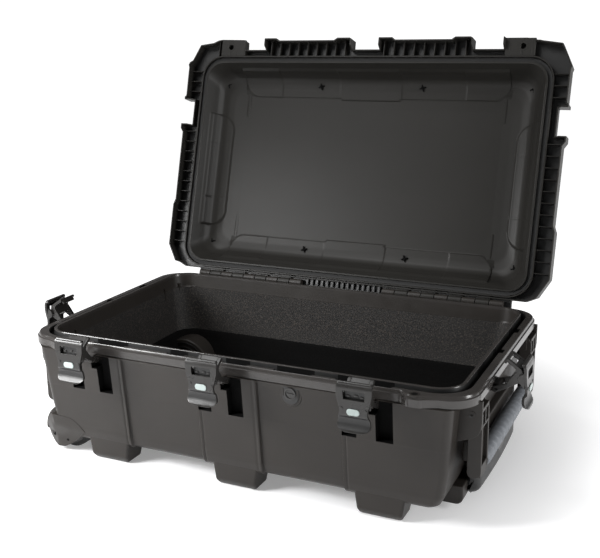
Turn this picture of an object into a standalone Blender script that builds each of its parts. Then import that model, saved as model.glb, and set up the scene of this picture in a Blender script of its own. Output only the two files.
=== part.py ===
"""Wheeled hard equipment case with a hinged lid, five claw latches, two bail handles,
a pull-out trolley handle and two wheels.

Design frame: X runs along the case (wheels at -X, trolley handle at +X), Y runs from the
front edge of the sealing rim (y = 0) to the hinge side, and Z is up from the floor.
"""

import math

import bmesh
import bpy
from mathutils import Matrix, Vector

# ---- Driving dimensions (metres) -------------------------------------------------------
RING_LENGTH = 0.765          # sealing tongue, outside, along X
RING_WIDTH = 0.460           # sealing tongue, outside, along Y
TONGUE_TOP = 0.2315          # top of the sealing tongue above the floor
FLANGE_TOP = 0.2275
FLANGE_UNDER = 0.2080
BODY_BOTTOM = 0.0330
BODY_CORNER = 0.0150         # radius of the body's upright corners
FLOOR_TOP = 0.0405
GAP = 0.0003                 # clearance between touching pieces

HINGE_SETBACK = 0.0190       # hinge axis behind the rear of the sealing ring
HINGE_Z = 0.2290
KNUCKLE_RADIUS = 0.0075
PIN_RADIUS = 0.0025
KNUCKLE_START = 0.0900       # from the middle of the case
KNUCKLE_LENGTH = 0.0275
KNUCKLE_COUNT = 9
LID_OPEN_DEG = 106.5
LID_DEPTH = 0.0600

FRONT_FLANGE = 0.0205        # base flange beyond the ring, at the front
REAR_FLANGE = 0.0100         # the same at the hinge side
SIDE_FLANGE = 0.0255         # base flange beyond the ring, ends
LID_FRONT_FLANGE = 0.0400
LID_SIDE_FLANGE = 0.0330
LID_SKIRT = 0.0120            # outer lip of the lid, hanging below its mating face
NOTCH_FLOOR = 0.0180         # flange left beyond the ring inside a latch notch
NOTCH_HALF = 0.0290

STATION = 0.257              # spacing of the front pilasters, feet and latches
LATCH_OFFSET = -0.0110       # latches sit slightly left of their pilasters
SIDE_LATCH_Y = 0.125
LATCH_OPEN_DEG = 35.0        # claws tipped outward

HANDLE_PIVOT_X = 0.3945
HANDLE_PIVOT_Z = 0.1860
ARM_Y = (0.0295, 0.0730)     # front arm of each bail handle; the rear one mirrors it
ARM_X = (0.3890, 0.4110)
ARM_FOOT = 0.0815            # lowest point of an arm
ARM_SWEEP = 0.0175           # room round the pivot for the top of a swinging arm
WHEEL_X = -0.3540
WHEEL_RADIUS = 0.0380
TUBE_Y = 0.1550              # trolley tubes, measured from front and from rear of the ring
TUBE_Z = 0.0605

# Latch hinges: distance outward from the ring edge and height, with the latch closed.
LATCH_PIVOT = (0.0300, 0.2030)
LEVER_PIVOT = (0.0475, 0.2430)
LEVER_LIP = 0.0145           # curled lip of the lever, outward from its pivot
CLAW_NEAR = 0.0146           # inner and outer faces of a claw's arms
CLAW_FAR = 0.0206
PIVOT_BORE = 0.0023
LEVER_BORE = 0.0021

PADLOCK_X = 0.3210
PADLOCK_OUT = 0.0235         # padlock holes, outward from the ring edge
PADLOCK_RADIUS = 0.0055
HANDLE_BORE = 0.0028
LID_TOP_HALF = 0.186         # half width of the lid's flat top

# ---- Worked out from them --------------------------------------------------------------
HALF_X = RING_LENGTH / 2
MID_Y = RING_WIDTH / 2
HINGE_Y = RING_WIDTH + HINGE_SETBACK
LID_MATE = 0.0010            # mating face in the lid frame, above the hinge axis
LID_CENTRE = HINGE_SETBACK + MID_Y
LEAN = math.radians(LID_OPEN_DEG - 90)

CORNER_STEPS = 4
ROUND = 20

parts = None
cutters = None


# ---- Scene helpers ---------------------------------------------------------------------
def clear_scene():
    for obj in list(bpy.data.objects):
        bpy.data.objects.remove(obj, do_unlink=True)


def new_collection(name):
    coll = bpy.data.collections.new(name)
    bpy.context.scene.collection.children.link(coll)
    return coll


def material(name, colour, roughness, metallic=0.0):
    mat = bpy.data.materials.get(name)
    if mat is None:
        mat = bpy.data.materials.new(name)
        mat.use_nodes = True
        shader = mat.node_tree.nodes["Principled BSDF"]
        shader.inputs["Base Color"].default_value = (*colour, 1.0)
        shader.inputs["Roughness"].default_value = roughness
        shader.inputs["Metallic"].default_value = metallic
    return mat


def shell_plastic():
    return material("shell_plastic", (0.045, 0.043, 0.040), 0.45)


def latch_plastic():
    return material("latch_plastic", (0.030, 0.029, 0.028), 0.38)


def button_plastic():
    return material("button_plastic", (0.48, 0.56, 0.55), 0.35)


def grip_rubber():
    return material("grip_rubber", (0.10, 0.11, 0.13), 0.7)


def black_rubber():
    return material("black_rubber", (0.012, 0.012, 0.012), 0.8)


def black_foam():
    return material("black_foam", (0.004, 0.004, 0.004), 0.95)


def steel():
    return material("steel", (0.55, 0.55, 0.55), 0.3, 1.0)


def aluminium():
    return material("aluminium", (0.42, 0.43, 0.44), 0.35, 1.0)


def add_object(name, bm, mat, smooth=False):
    """Make an object from bm. A name that starts with cut_ is a Boolean tool."""
    bmesh.ops.recalc_face_normals(bm, faces=bm.faces)
    mesh = bpy.data.meshes.new(name)
    bm.to_mesh(mesh)
    bm.free()
    obj = bpy.data.objects.new(name, mesh)
    if name.startswith("cut_"):
        cutters.objects.link(obj)
        obj.hide_render = True
        obj.display_type = "WIRE"
        return obj
    parts.objects.link(obj)
    mesh.materials.append(mat)
    if smooth:
        mesh.shade_smooth()
        mesh.set_sharp_from_angle(angle=math.radians(35))
    return obj


# ---- Shape helpers ---------------------------------------------------------------------
def box_bm(x, y, z):
    """Box between the two ends of each range."""
    bm = bmesh.new()
    bmesh.ops.create_cube(bm, size=1.0)
    size = Vector((x[1] - x[0], y[1] - y[0], z[1] - z[0]))
    centre = Vector((x[0] + x[1], y[0] + y[1], z[0] + z[1])) / 2
    bmesh.ops.scale(bm, vec=size, verts=bm.verts)
    bmesh.ops.translate(bm, vec=centre, verts=bm.verts)
    return bm


def cylinder_bm(radius, start, end, segments=ROUND):
    """Cylinder between two points."""
    start, end = Vector(start), Vector(end)
    axis = end - start
    turn = axis.to_track_quat("Z", "Y").to_matrix().to_4x4()
    bm = bmesh.new()
    bmesh.ops.create_cone(bm, cap_ends=True, segments=segments, radius1=radius,
                          radius2=radius, depth=axis.length,
                          matrix=Matrix.Translation((start + end) / 2) @ turn)
    return bm


def prism_bm(outline, axis, low, high):
    """Extrude a 2-D outline. axis names the extrusion: X takes (y, z), Y takes (x, z)
    and Z takes (x, y) points."""
    place = {
        "X": lambda a, b, c: (c, a, b),
        "Y": lambda a, b, c: (a, c, b),
        "Z": lambda a, b, c: (a, b, c),
    }[axis]
    bm = bmesh.new()
    verts = [bm.verts.new(place(a, b, low)) for a, b in outline]
    face = bm.faces.new(verts)
    grown = bmesh.ops.extrude_face_region(bm, geom=[face])
    moved = [v for v in grown["geom"] if isinstance(v, bmesh.types.BMVert)]
    shift = Vector(place(0, 0, high)) - Vector(place(0, 0, low))
    bmesh.ops.translate(bm, vec=shift, verts=moved)
    return bm


def arc(centre, radius, start_deg, end_deg, steps):
    """Points of an arc, both ends included."""
    points = []
    for i in range(steps + 1):
        angle = math.radians(start_deg + (end_deg - start_deg) * i / steps)
        points.append((centre[0] + radius * math.cos(angle),
                       centre[1] + radius * math.sin(angle)))
    return points


def rounded_outline(half_x, half_y, radius, centre=(0.0, 0.0), steps=CORNER_STEPS):
    """Rounded rectangle, counter-clockwise."""
    inner_x, inner_y = half_x - radius, half_y - radius
    points = []
    for sx, sy, start in ((1, 1, 0), (-1, 1, 90), (-1, -1, 180), (1, -1, 270)):
        corner = (centre[0] + sx * inner_x, centre[1] + sy * inner_y)
        points += arc(corner, radius, start, start + 90, steps)
    return points


def bridge(bm, lower, upper):
    """Faces between two rings with the same number of vertices."""
    count = len(lower)
    for i in range(count):
        j = (i + 1) % count
        bm.faces.new((lower[i], lower[j], upper[j], upper[i]))


def loft_bm(sections):
    """Closed skin through rounded rectangles. A section is (half_x, half_y, centre_y,
    corner_radius, z). The first and last sections are capped."""
    bm = bmesh.new()
    rings = []
    for half_x, half_y, centre_y, radius, z in sections:
        outline = rounded_outline(half_x, half_y, radius, (0.0, centre_y))
        rings.append([bm.verts.new((x, y, z)) for x, y in outline])
    for lower, upper in zip(rings, rings[1:]):
        bridge(bm, lower, upper)
    bm.faces.new(list(reversed(rings[0])))
    bm.faces.new(rings[-1])
    return bm


def closed_band_bm(point_rings):
    """Closed ring-shaped skin: each ring joins the next, and the last joins the first."""
    bm = bmesh.new()
    rings = [[bm.verts.new(point) for point in ring] for ring in point_rings]
    for index, ring in enumerate(rings):
        bridge(bm, ring, rings[(index + 1) % len(rings)])
    return bm


def boolean(obj, tool_bms, operation, label):
    """Add one Boolean whose tools are the given meshes, in a collection of their own."""
    group = bpy.data.collections.new(f"{obj.name}_{label}")
    cutters.children.link(group)
    for index, tool_bm in enumerate(tool_bms):
        tool = add_object(f"cut_{obj.name}_{label}_{index}", tool_bm, None)
        cutters.objects.unlink(tool)
        group.objects.link(tool)
    mod = obj.modifiers.new(label, "BOOLEAN")
    mod.operation = operation
    mod.operand_type = "COLLECTION"
    mod.collection = group
    mod.solver = "EXACT"


def union(obj, tool_bms):
    boolean(obj, tool_bms, "UNION", "joins")


def cut(obj, tool_bms, label="cuts"):
    boolean(obj, tool_bms, "DIFFERENCE", label)


def attach(obj, parent):
    """Parent a piece and its Boolean tools, so that they keep their places on it."""
    obj.parent = parent
    for group in cutters.children:
        if group.name.startswith(obj.name + "_"):
            for tool in group.objects:
                tool.parent = parent


def empty_at(name, location, parent=None, rotation=(0.0, 0.0, 0.0)):
    """Empty on a joint axis."""
    axis = bpy.data.objects.new(name, None)
    parts.objects.link(axis)
    axis.parent = parent
    axis.location = location
    axis.rotation_euler = rotation
    return axis


def along_edge(bm, edge):
    """Move a mesh from the latch frame (x along the rim, -y outward) to a rim edge."""
    centre, turn_deg = edge
    turn = Matrix.Rotation(math.radians(turn_deg), 4, "Z")
    bmesh.ops.transform(bm, matrix=Matrix.Translation(centre) @ turn, verts=bm.verts)
    return bm


def latch_edges():
    """Name, place on the ring edge and turn of each latch."""
    edges = {}
    for name, station in (("front_left", -1), ("front_mid", 0), ("front_right", 1)):
        edges[name] = (Vector((station * STATION + LATCH_OFFSET, 0.0, 0.0)), 0)
    edges["side_left"] = (Vector((-HALF_X, SIDE_LATCH_Y, 0.0)), -90)
    edges["side_right"] = (Vector((HALF_X, SIDE_LATCH_Y, 0.0)), 90)
    return edges


# ---- Base shell ------------------------------------------------------------------------
PILASTER_HALF = 0.0560
PANEL_END = 0.2030
FOOT_HALF = 0.0365
FOOT_OFFSET = 0.0040
POCKET_FAR = 0.0395          # outer side of a latch pocket, from the latch centre
POCKET_LEFT = 0.0345         # the same, for the pocket on the left
POCKET_Z = (0.1390, 0.2050)
LUG_HALF = 0.0142            # half width of the lug that carries a claw
TUNNEL_HALF = 0.0165
TUNNEL_TOP = 0.0790
CHANNEL_HALF = 0.0118
CHANNEL_TOP = 0.0725
SILL_X = 0.3750
SILL_Y = 0.0700
SILL_Z = 0.0110
ARCH_OUTER = 0.0490
ARCH_INNER = 0.0415
WHEEL_NEAR = 0.0175          # wheel and wheel bay, measured in from the ring edge
WHEEL_WIDTH = 0.0400
VALVE_X = 0.1165
VALVE_Z = 0.1950
VALVE_RADIUS = 0.0125


def base_sections():
    """From the middle of the underside, up the outside, over the rim, down to the floor."""
    rear_trim = FRONT_FLANGE - REAR_FLANGE
    outside = [
        (0.352, 0.2270, 0, 0.012, BODY_BOTTOM),
        (0.363, 0.2345, 0, 0.014, BODY_BOTTOM + 0.006),
        (0.371, 0.2385, 0, BODY_CORNER, 0.054),
        (0.380, 0.2430, 0, BODY_CORNER, 0.100),
        (0.387, 0.2540, rear_trim, 0.024, FLANGE_UNDER - 0.001),
        (HALF_X + SIDE_FLANGE, MID_Y + FRONT_FLANGE, rear_trim, 0.052, FLANGE_UNDER),
        (HALF_X + SIDE_FLANGE, MID_Y + FRONT_FLANGE, rear_trim, 0.052, FLANGE_TOP - 0.0015),
        (HALF_X + SIDE_FLANGE - 0.0015, MID_Y + FRONT_FLANGE - 0.0015, rear_trim, 0.051,
         FLANGE_TOP),
    ]
    rim = [
        (HALF_X + 0.0085, MID_Y + 0.0085, 0, 0.048, FLANGE_TOP),
        (HALF_X + 0.0085, MID_Y + 0.0085, 0, 0.048, FLANGE_TOP - 0.007),
        (HALF_X + 0.0005, MID_Y + 0.0005, 0, 0.045, FLANGE_TOP - 0.007),
        (HALF_X, MID_Y, 0, 0.045, TONGUE_TOP - 0.001),
        (HALF_X - 0.001, MID_Y - 0.001, 0, 0.044, TONGUE_TOP),
        (HALF_X - 0.005, MID_Y - 0.005, 0, 0.041, TONGUE_TOP),
    ]
    inside = [
        (HALF_X - 0.007, MID_Y - 0.007, 0, 0.040, TONGUE_TOP - 0.003),
        (HALF_X - 0.010, MID_Y - 0.009, 0, 0.040, 0.204),
        (HALF_X - 0.0115, MID_Y - 0.0105, 0, 0.040, 0.202),
        (0.362, 0.2150, 0, 0.042, 0.090),
        (0.352, 0.2080, 0, 0.042, 0.050),
        (0.342, 0.1980, 0, 0.034, FLOOR_TOP),
    ]
    sections = []
    for half_x, half_y, trim, radius, z in outside + rim + inside:
        sections.append((half_x, half_y - trim / 2, MID_Y - trim / 2, radius, z))
    return sections


def mirrored(y_range):
    """The same stretch of Y, mirrored about the middle of the case."""
    return (RING_WIDTH - y_range[1], RING_WIDTH - y_range[0])


def both_sides(y_range):
    return (y_range, mirrored(y_range))


def panel_cutters():
    """Recessed panels between the pilasters, front and rear."""
    profile = [(-0.060, -0.010), (0.0085, -0.010), (0.0085, 0.040), (-0.0150, 0.2040),
               (-0.060, 0.2040)]
    tools = []
    for mirror in (False, True):
        outline = [(RING_WIDTH - y if mirror else y, z) for y, z in profile]
        for sign in (-1, 1):
            low, high = sorted((sign * PILASTER_HALF, sign * PANEL_END))
            tools.append(prism_bm(outline, "X", low, high))
    return tools


def foot_adds():
    tools = []
    for station in (-1, 0, 1):
        x = station * STATION + FOOT_OFFSET
        profile = [(0.0020, 0.0), (0.0420, 0.0), (0.0480, 0.0370), (-0.0055, 0.0450),
                   (-0.0045, 0.0085)]
        for mirror in (False, True):
            outline = [(RING_WIDTH - y if mirror else y, z) for y, z in profile]
            tools.append(prism_bm(outline, "X", x - FOOT_HALF, x + FOOT_HALF))
    return tools


def padlock_adds():
    tools = []
    for sign in (-1, 1):
        x = sorted((sign * 0.300, sign * 0.342))
        tools.append(box_bm(x, (-0.0335, 0.0), (0.2110, FLANGE_TOP - 0.0005)))
    return tools


def bracket_adds():
    """Plates at both ends that carry the bail handles, with an inner lug for each pin."""
    tools = []
    for sign in (-1, 1):
        outline = [(0.3600, 0.2120), (0.4130, 0.2120), (0.4130, 0.1760), (0.4115, 0.1650),
                   (0.4070, 0.1560), (0.3990, 0.1500), (0.3890, 0.1465), (0.3600, 0.1380)]
        outline = [(sign * x, z) for x, z in outline]
        for y in both_sides((0.0090, 0.0290)):
            tools.append(prism_bm(outline, "Y", *y))
        for y in both_sides((0.0735, 0.0785)):
            x = sorted((sign * 0.3700, sign * 0.4030))
            tools.append(box_bm(x, y, (0.1760, 0.2100)))
    return tools


def arch_adds():
    """Wheel arches, closed on the inside of the case."""
    tools = []
    for y in both_sides((WHEEL_NEAR - 0.0095, WHEEL_NEAR + WHEEL_WIDTH + 0.0080)):
        tools.append(cylinder_bm(ARCH_OUTER, (WHEEL_X, y[0], WHEEL_RADIUS),
                                 (WHEEL_X, y[1], WHEEL_RADIUS), 28))
    return tools


def cover_adds():
    """Covers over the wheels, flush with the front and the rear of the body."""
    outline = arc((WHEEL_X - 0.010, WHEEL_RADIUS + 0.0015), 0.0345, 95, 262, 14)
    outline += [(-0.3420, 0.0080), (-0.3220, 0.0215), (-0.3090, 0.0360), (-0.3150, 0.0480),
                (-0.3300, 0.0620), (-0.3480, 0.0715)]
    return [prism_bm(outline, "Y", *y) for y in both_sides((-0.0060, 0.0120))]


def tunnel_adds():
    """Humps over the trolley tubes on the case floor."""
    tools = []
    for y in (TUBE_Y, RING_WIDTH - TUBE_Y):
        tools.append(box_bm((-0.250, 0.366), (y - TUNNEL_HALF, y + TUNNEL_HALF),
                            (0.0360, TUNNEL_TOP)))
    return tools


def sill_adds():
    """Sill under the right end, inboard of the trolley grip, with a rounded lower edge."""
    outline = [(0.3400, 0.0345), (0.3400, SILL_Z), (SILL_X - 0.0120, SILL_Z)]
    outline += arc((SILL_X - 0.0120, SILL_Z + 0.0120), 0.0120, -60, 0, 4)
    outline += [(SILL_X, 0.0440), (0.3580, 0.0440)]
    return [prism_bm(outline, "Y", SILL_Y, RING_WIDTH - SILL_Y)]


def valve_adds():
    outline = arc((VALVE_X, VALVE_Z - 0.004), 0.0195, 180, 360, 12)
    outline += [(VALVE_X + 0.0195, 0.2060), (VALVE_X - 0.0195, 0.2060)]
    return [prism_bm(outline, "Y", -0.0210, 0.0)]


def lug_adds():
    """Latch lugs that stand out between the two pockets."""
    tools = []
    for edge in latch_edges().values():
        lug = [(0.000, LATCH_PIVOT[1] - 0.0065)]
        lug += arc((-LATCH_PIVOT[0], LATCH_PIVOT[1]), 0.0065, -90, -270, 8)
        lug += [(0.000, LATCH_PIVOT[1] + 0.0065)]
        tools.append(along_edge(prism_bm(lug, "X", -LUG_HALF, LUG_HALF), edge))
    return tools


def hinge_adds():
    tools = []
    for low, high in knuckle_spans(0):
        tools.append(box_bm((low, high), (RING_WIDTH, HINGE_Y), (0.2085, 0.2225)))
        tools.append(cylinder_bm(KNUCKLE_RADIUS, (low, HINGE_Y, HINGE_Z),
                                 (high, HINGE_Y, HINGE_Z), 12))
    return tools


def latch_pocket_cutters():
    """Pockets on both sides of each latch lug, and the flange notches of the end latches."""
    tools = []
    for station in (-1, 0, 1):
        centre = station * STATION + LATCH_OFFSET
        for sign, far in ((-1, POCKET_LEFT), (1, POCKET_FAR)):
            x = sorted((centre + sign * LUG_HALF, centre + sign * far))
            tools.append(box_bm(x, (-0.060, -0.0090), POCKET_Z))
    for sign in (-1, 1):
        x = sorted((sign * (HALF_X + NOTCH_FLOOR), sign * 0.440))
        y = (SIDE_LATCH_Y - NOTCH_HALF, SIDE_LATCH_Y + NOTCH_HALF)
        tools.append(box_bm(x, y, (FLANGE_UNDER + 0.0020, 0.2600)))
        tools.append(box_bm(x, (y[0], SIDE_LATCH_Y - LUG_HALF), (0.1500, 0.2150)))
        tools.append(box_bm(x, (SIDE_LATCH_Y + LUG_HALF, y[1]), (0.1500, 0.2150)))
    return tools


def hole_cutters():
    """Padlock holes, the valve's seat, and the bores for handle, latch and hinge pins."""
    tools = []
    for sign in (-1, 1):
        tools.append(cylinder_bm(PADLOCK_RADIUS, (sign * PADLOCK_X, -PADLOCK_OUT, 0.19),
                                 (sign * PADLOCK_X, -PADLOCK_OUT, 0.24), 16))
        tools.append(cylinder_bm(HANDLE_BORE, (sign * HANDLE_PIVOT_X, -0.02, HANDLE_PIVOT_Z),
                                 (sign * HANDLE_PIVOT_X, 0.48, HANDLE_PIVOT_Z), 8))
    for edge in latch_edges().values():
        pin = cylinder_bm(PIVOT_BORE, (-0.03, -LATCH_PIVOT[0], LATCH_PIVOT[1]),
                          (0.03, -LATCH_PIVOT[0], LATCH_PIVOT[1]), 8)
        tools.append(along_edge(pin, edge))
    tools.append(cylinder_bm(VALVE_RADIUS + GAP, (VALVE_X, -0.04, VALVE_Z),
                             (VALVE_X, -0.0060, VALVE_Z)))
    tools.append(cylinder_bm(PIN_RADIUS + GAP, (-0.4, HINGE_Y, HINGE_Z),
                             (0.4, HINGE_Y, HINGE_Z), 8))
    return tools


def swing_relief_cutters():
    """Hollows behind the tops of the handle arms, so that the arms can swing outward."""
    tools = []
    for sign in (-1, 1):
        for y in both_sides((ARM_Y[0] - 0.0005, ARM_Y[1] + 0.0005)):
            tools.append(cylinder_bm(ARM_SWEEP, (sign * HANDLE_PIVOT_X, y[0], HANDLE_PIVOT_Z),
                                     (sign * HANDLE_PIVOT_X, y[1], HANDLE_PIVOT_Z), 24))
    return tools


def channel_cutters():
    tools = []
    for y in (TUBE_Y, RING_WIDTH - TUBE_Y):
        tools.append(box_bm((-0.243, 0.43), (y - CHANNEL_HALF, y + CHANNEL_HALF),
                            (0.0, CHANNEL_TOP)))
    return tools


def wheel_cutters():
    tools = []
    for y in both_sides((WHEEL_NEAR, WHEEL_NEAR + WHEEL_WIDTH)):
        tools.append(cylinder_bm(ARCH_INNER, (WHEEL_X, y[0], WHEEL_RADIUS),
                                 (WHEEL_X, y[1], WHEEL_RADIUS), 28))
        tools.append(box_bm((WHEEL_X - 0.037, WHEEL_X + 0.037), y, (-0.01, 0.022)))
    for y in both_sides((-0.02, WHEEL_NEAR + WHEEL_WIDTH + 0.02)):
        tools.append(box_bm((-0.45, -0.295), y, (-0.02, 0.0095)))
    for y in both_sides((WHEEL_NEAR - 0.0055, WHEEL_NEAR + WHEEL_WIDTH + 0.0045)):
        tools.append(cylinder_bm(AXLE_RADIUS + GAP, (WHEEL_X, y[0], WHEEL_RADIUS),
                                 (WHEEL_X, y[1], WHEEL_RADIUS), 16))
    return tools


def make_base():
    base = add_object("base_shell", loft_bm(base_sections()), shell_plastic(), smooth=True)
    cut(base, panel_cutters(), "panels")
    union(base, foot_adds() + padlock_adds() + bracket_adds() + arch_adds() + cover_adds()
          + tunnel_adds() + sill_adds() + valve_adds() + lug_adds() + hinge_adds())
    cut(base, latch_pocket_cutters() + hole_cutters() + swing_relief_cutters()
        + channel_cutters() + wheel_cutters())


# ---- Lid -------------------------------------------------------------------------------
def knuckle_spans(first):
    """X ranges of every second knuckle, starting with the given one, on both sides."""
    spans = []
    for i in range(first, KNUCKLE_COUNT, 2):
        low = KNUCKLE_START + i * KNUCKLE_LENGTH + 0.0004
        high = KNUCKLE_START + (i + 1) * KNUCKLE_LENGTH - 0.0004
        spans.append((low, high))
        spans.append((-high, -low))
    return spans


def lid_sections():
    """Lid frame: y is the distance from the hinge, z points into the case."""
    rear = 0.0095
    flange_half = (HINGE_SETBACK + RING_WIDTH + LID_FRONT_FLANGE - rear) / 2
    flange_mid = rear + flange_half
    side = HALF_X + LID_SIDE_FLANGE
    under = LID_MATE - 0.018
    outside = [
        (0.336, LID_TOP_HALF, LID_CENTRE, 0.040, LID_MATE - LID_DEPTH),
        (0.350, 0.2000, LID_CENTRE, 0.045, LID_MATE - LID_DEPTH + 0.005),
        (0.360, 0.2090, LID_CENTRE, 0.048, LID_MATE - 0.040),
        (0.378, 0.2280, LID_CENTRE, 0.048, under),
        (side, flange_half, flange_mid, 0.072, under),
        (side, flange_half, flange_mid, 0.072, LID_MATE + LID_SKIRT),
        (side - 0.0050, flange_half - 0.0050, flange_mid, 0.067, LID_MATE + LID_SKIRT),
        (side - 0.0050, flange_half - 0.0050, flange_mid, 0.067, LID_MATE),
    ]
    groove = [
        (HALF_X + 0.0015, MID_Y + 0.0015, LID_CENTRE, 0.046, LID_MATE),
        (HALF_X + 0.0015, MID_Y + 0.0015, LID_CENTRE, 0.046, LID_MATE - 0.008),
        (HALF_X - 0.0070, MID_Y - 0.0070, LID_CENTRE, 0.040, LID_MATE - 0.008),
        (HALF_X - 0.0070, MID_Y - 0.0070, LID_CENTRE, 0.040, LID_MATE - 0.0005),
        (HALF_X - 0.0110, MID_Y - 0.0110, LID_CENTRE, 0.037, LID_MATE - 0.0005),
    ]
    inside = [
        (HALF_X - 0.0170, MID_Y - 0.0170, LID_CENTRE, 0.036, LID_MATE - 0.014),
        (0.353, 0.2010, LID_CENTRE, 0.036, LID_MATE - 0.034),
        (0.343, 0.1910, LID_CENTRE, 0.034, LID_MATE - 0.046),
        (0.327, 0.1750, LID_CENTRE, 0.030, LID_MATE - 0.0530),
        (0.310, 0.1580, LID_CENTRE, 0.025, LID_MATE - 0.0545),
    ]
    return outside + groove + inside


def lid_cutters():
    """Latch notches, padlock holes, the hinge bore, and gaps in the skirt for the hinge
    and for the padlock tabs of the base."""
    tools = []
    notch_z = (LID_MATE - 0.030, 0.020)
    notch_y = (HINGE_SETBACK + RING_WIDTH + NOTCH_FLOOR, 0.56)
    middle = HINGE_Y - SIDE_LATCH_Y
    skirt_z = (LID_MATE + GAP, 0.030)
    for station in (-1, 0, 1):
        x = station * STATION
        tools.append(box_bm((x - NOTCH_HALF - 0.004, x + NOTCH_HALF), notch_y, notch_z))
    for sign in (-1, 1):
        x = sorted((sign * (HALF_X + NOTCH_FLOOR), sign * 0.45))
        tools.append(box_bm(x, (middle - NOTCH_HALF, middle + NOTCH_HALF), notch_z))
        x = sorted((sign * 0.2850, sign * 0.3450))
        tools.append(box_bm(x, (HINGE_Y + 0.005, 0.56), skirt_z))
        hole_y = HINGE_Y + PADLOCK_OUT
        tools.append(cylinder_bm(PADLOCK_RADIUS, (sign * PADLOCK_X, hole_y, -0.05),
                                 (sign * PADLOCK_X, hole_y, 0.02), 16))
    tools.append(box_bm((-0.45, 0.45), (-0.02, 0.0700), skirt_z))
    tools.append(cylinder_bm(PIN_RADIUS + GAP, (-0.4, 0, 0), (0.4, 0, 0), 8))
    return tools


def lid_knuckles():
    tools = []
    for low, high in knuckle_spans(1):
        tools.append(box_bm((low, high), (0.0, 0.014), (-0.0160, -0.0030)))
        tools.append(cylinder_bm(KNUCKLE_RADIUS, (low, 0, 0), (high, 0, 0), 12))
    return tools


def make_lid():
    hinge = empty_at("lid_hinge", (0.0, HINGE_Y, HINGE_Z),
                     rotation=(math.radians(180 - LID_OPEN_DEG), 0, 0))
    lid = add_object("lid_shell", loft_bm(lid_sections()), shell_plastic(), smooth=True)
    union(lid, lid_knuckles())
    cut(lid, lid_cutters())
    attach(lid, hinge)
    gasket = add_object("lid_gasket", gasket_bm(), black_rubber(), smooth=True)
    attach(gasket, hinge)


def gasket_bm():
    """Flat seal at the bottom of the lid's groove."""
    bottom = LID_MATE - 0.008 + GAP
    outer, inner = 0.0012, -0.0067
    rings = []
    for offset, z in ((outer, bottom), (outer, bottom + 0.0025), (inner, bottom + 0.0025),
                      (inner, bottom)):
        outline = rounded_outline(HALF_X + offset, MID_Y + offset, 0.045 + offset,
                                  (0.0, LID_CENTRE))
        rings.append([(x, y, z) for x, y in outline])
    return closed_band_bm(rings)


def make_hinge_pins():
    for name, sign in (("hinge_pin_left", -1), ("hinge_pin_right", 1)):
        start = sign * (KNUCKLE_START + 0.001)
        end = sign * (KNUCKLE_START + KNUCKLE_COUNT * KNUCKLE_LENGTH - 0.001)
        bm = cylinder_bm(PIN_RADIUS - 0.0001, (start, HINGE_Y, HINGE_Z), (end, HINGE_Y, HINGE_Z), 8)
        add_object(name, bm, steel(), smooth=True)


# ---- Latches ---------------------------------------------------------------------------


def claw_outline():
    """C-shaped side of the claw as (-outward, z) points."""
    px, pz = -LATCH_PIVOT[0], LATCH_PIVOT[1]
    bx, bz = -LEVER_PIVOT[0], LEVER_PIVOT[1]
    points = arc((px, pz), 0.0064, 10, -110, 5)
    points += [(-0.0420, 0.2180)]
    points += arc((bx, bz), 0.0050, 225, 120, 4)
    points += [(-0.0410, 0.2535), (-0.0385, 0.2550), (-0.0100, 0.2550), (-0.0100, 0.2478),
               (-0.0310, 0.2478), (-0.0345, 0.2440), (-0.0345, 0.2190)]
    return points


def lever_outline():
    """Front of the lever as (x, z) points about the lever pivot: wide head, waist, tab."""
    points = [(0.0265, 0.0245), (0.0285, 0.0225), (0.0285, 0.0060), (0.0255, -0.0070),
              (0.0212, -0.0200), (0.0225, -0.0280), (0.0275, -0.0440), (0.0240, -0.0490)]
    return points + [(-x, z) for x, z in reversed(points)]


def rotated_outward(point, pivot, degrees):
    """Where a point (outward, z) goes when it tips outward about a pivot."""
    angle = math.radians(degrees)
    out, up = point[0] - pivot[0], point[1] - pivot[1]
    return (pivot[0] + out * math.cos(angle) + up * math.sin(angle),
            pivot[1] + up * math.cos(angle) - out * math.sin(angle))


def latch_frames(name, edge):
    """Empties on the two hinge axes of a latch, in their rest places."""
    tip = math.radians(LATCH_OPEN_DEG)
    mount = empty_at(f"{name}_mount", edge[0], rotation=(0, 0, math.radians(edge[1])))
    claw_axis = empty_at(f"{name}_claw_axis", (0, -LATCH_PIVOT[0], LATCH_PIVOT[1]), mount,
                         (tip, 0, 0))
    offset = (0, LATCH_PIVOT[0] - LEVER_PIVOT[0], LEVER_PIVOT[1] - LATCH_PIVOT[1])
    lever_axis = empty_at(f"{name}_lever_axis", offset, claw_axis, (-tip, 0, 0))
    return mount, claw_axis, lever_axis


def shifted(bm, offset):
    bmesh.ops.translate(bm, vec=Vector(offset), verts=bm.verts)
    return bm


def make_claw(name, claw_axis):
    to_pivot = (0, LATCH_PIVOT[0], -LATCH_PIVOT[1])
    bar = box_bm((-CLAW_NEAR - 0.001, CLAW_NEAR + 0.001), (-0.0405, -0.0103), (0.2481, 0.2546))
    spine = box_bm((-CLAW_NEAR - 0.001, CLAW_NEAR + 0.001), (-0.0405, -0.0350), (0.2330, 0.2546))
    outline = claw_outline()
    left = prism_bm(outline, "X", -CLAW_FAR, -CLAW_NEAR)
    right = prism_bm(outline, "X", CLAW_NEAR, CLAW_FAR)
    claw = add_object(f"{name}_claw", shifted(bar, to_pivot), latch_plastic())
    union(claw, [shifted(p, to_pivot) for p in (left, right, spine)])
    holes = [cylinder_bm(bore, (-0.03, -out, z), (0.03, -out, z), 8)
             for bore, (out, z) in ((PIVOT_BORE, LATCH_PIVOT), (LEVER_BORE, LEVER_PIVOT))]
    cut(claw, [shifted(p, to_pivot) for p in holes])
    attach(claw, claw_axis)


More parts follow.
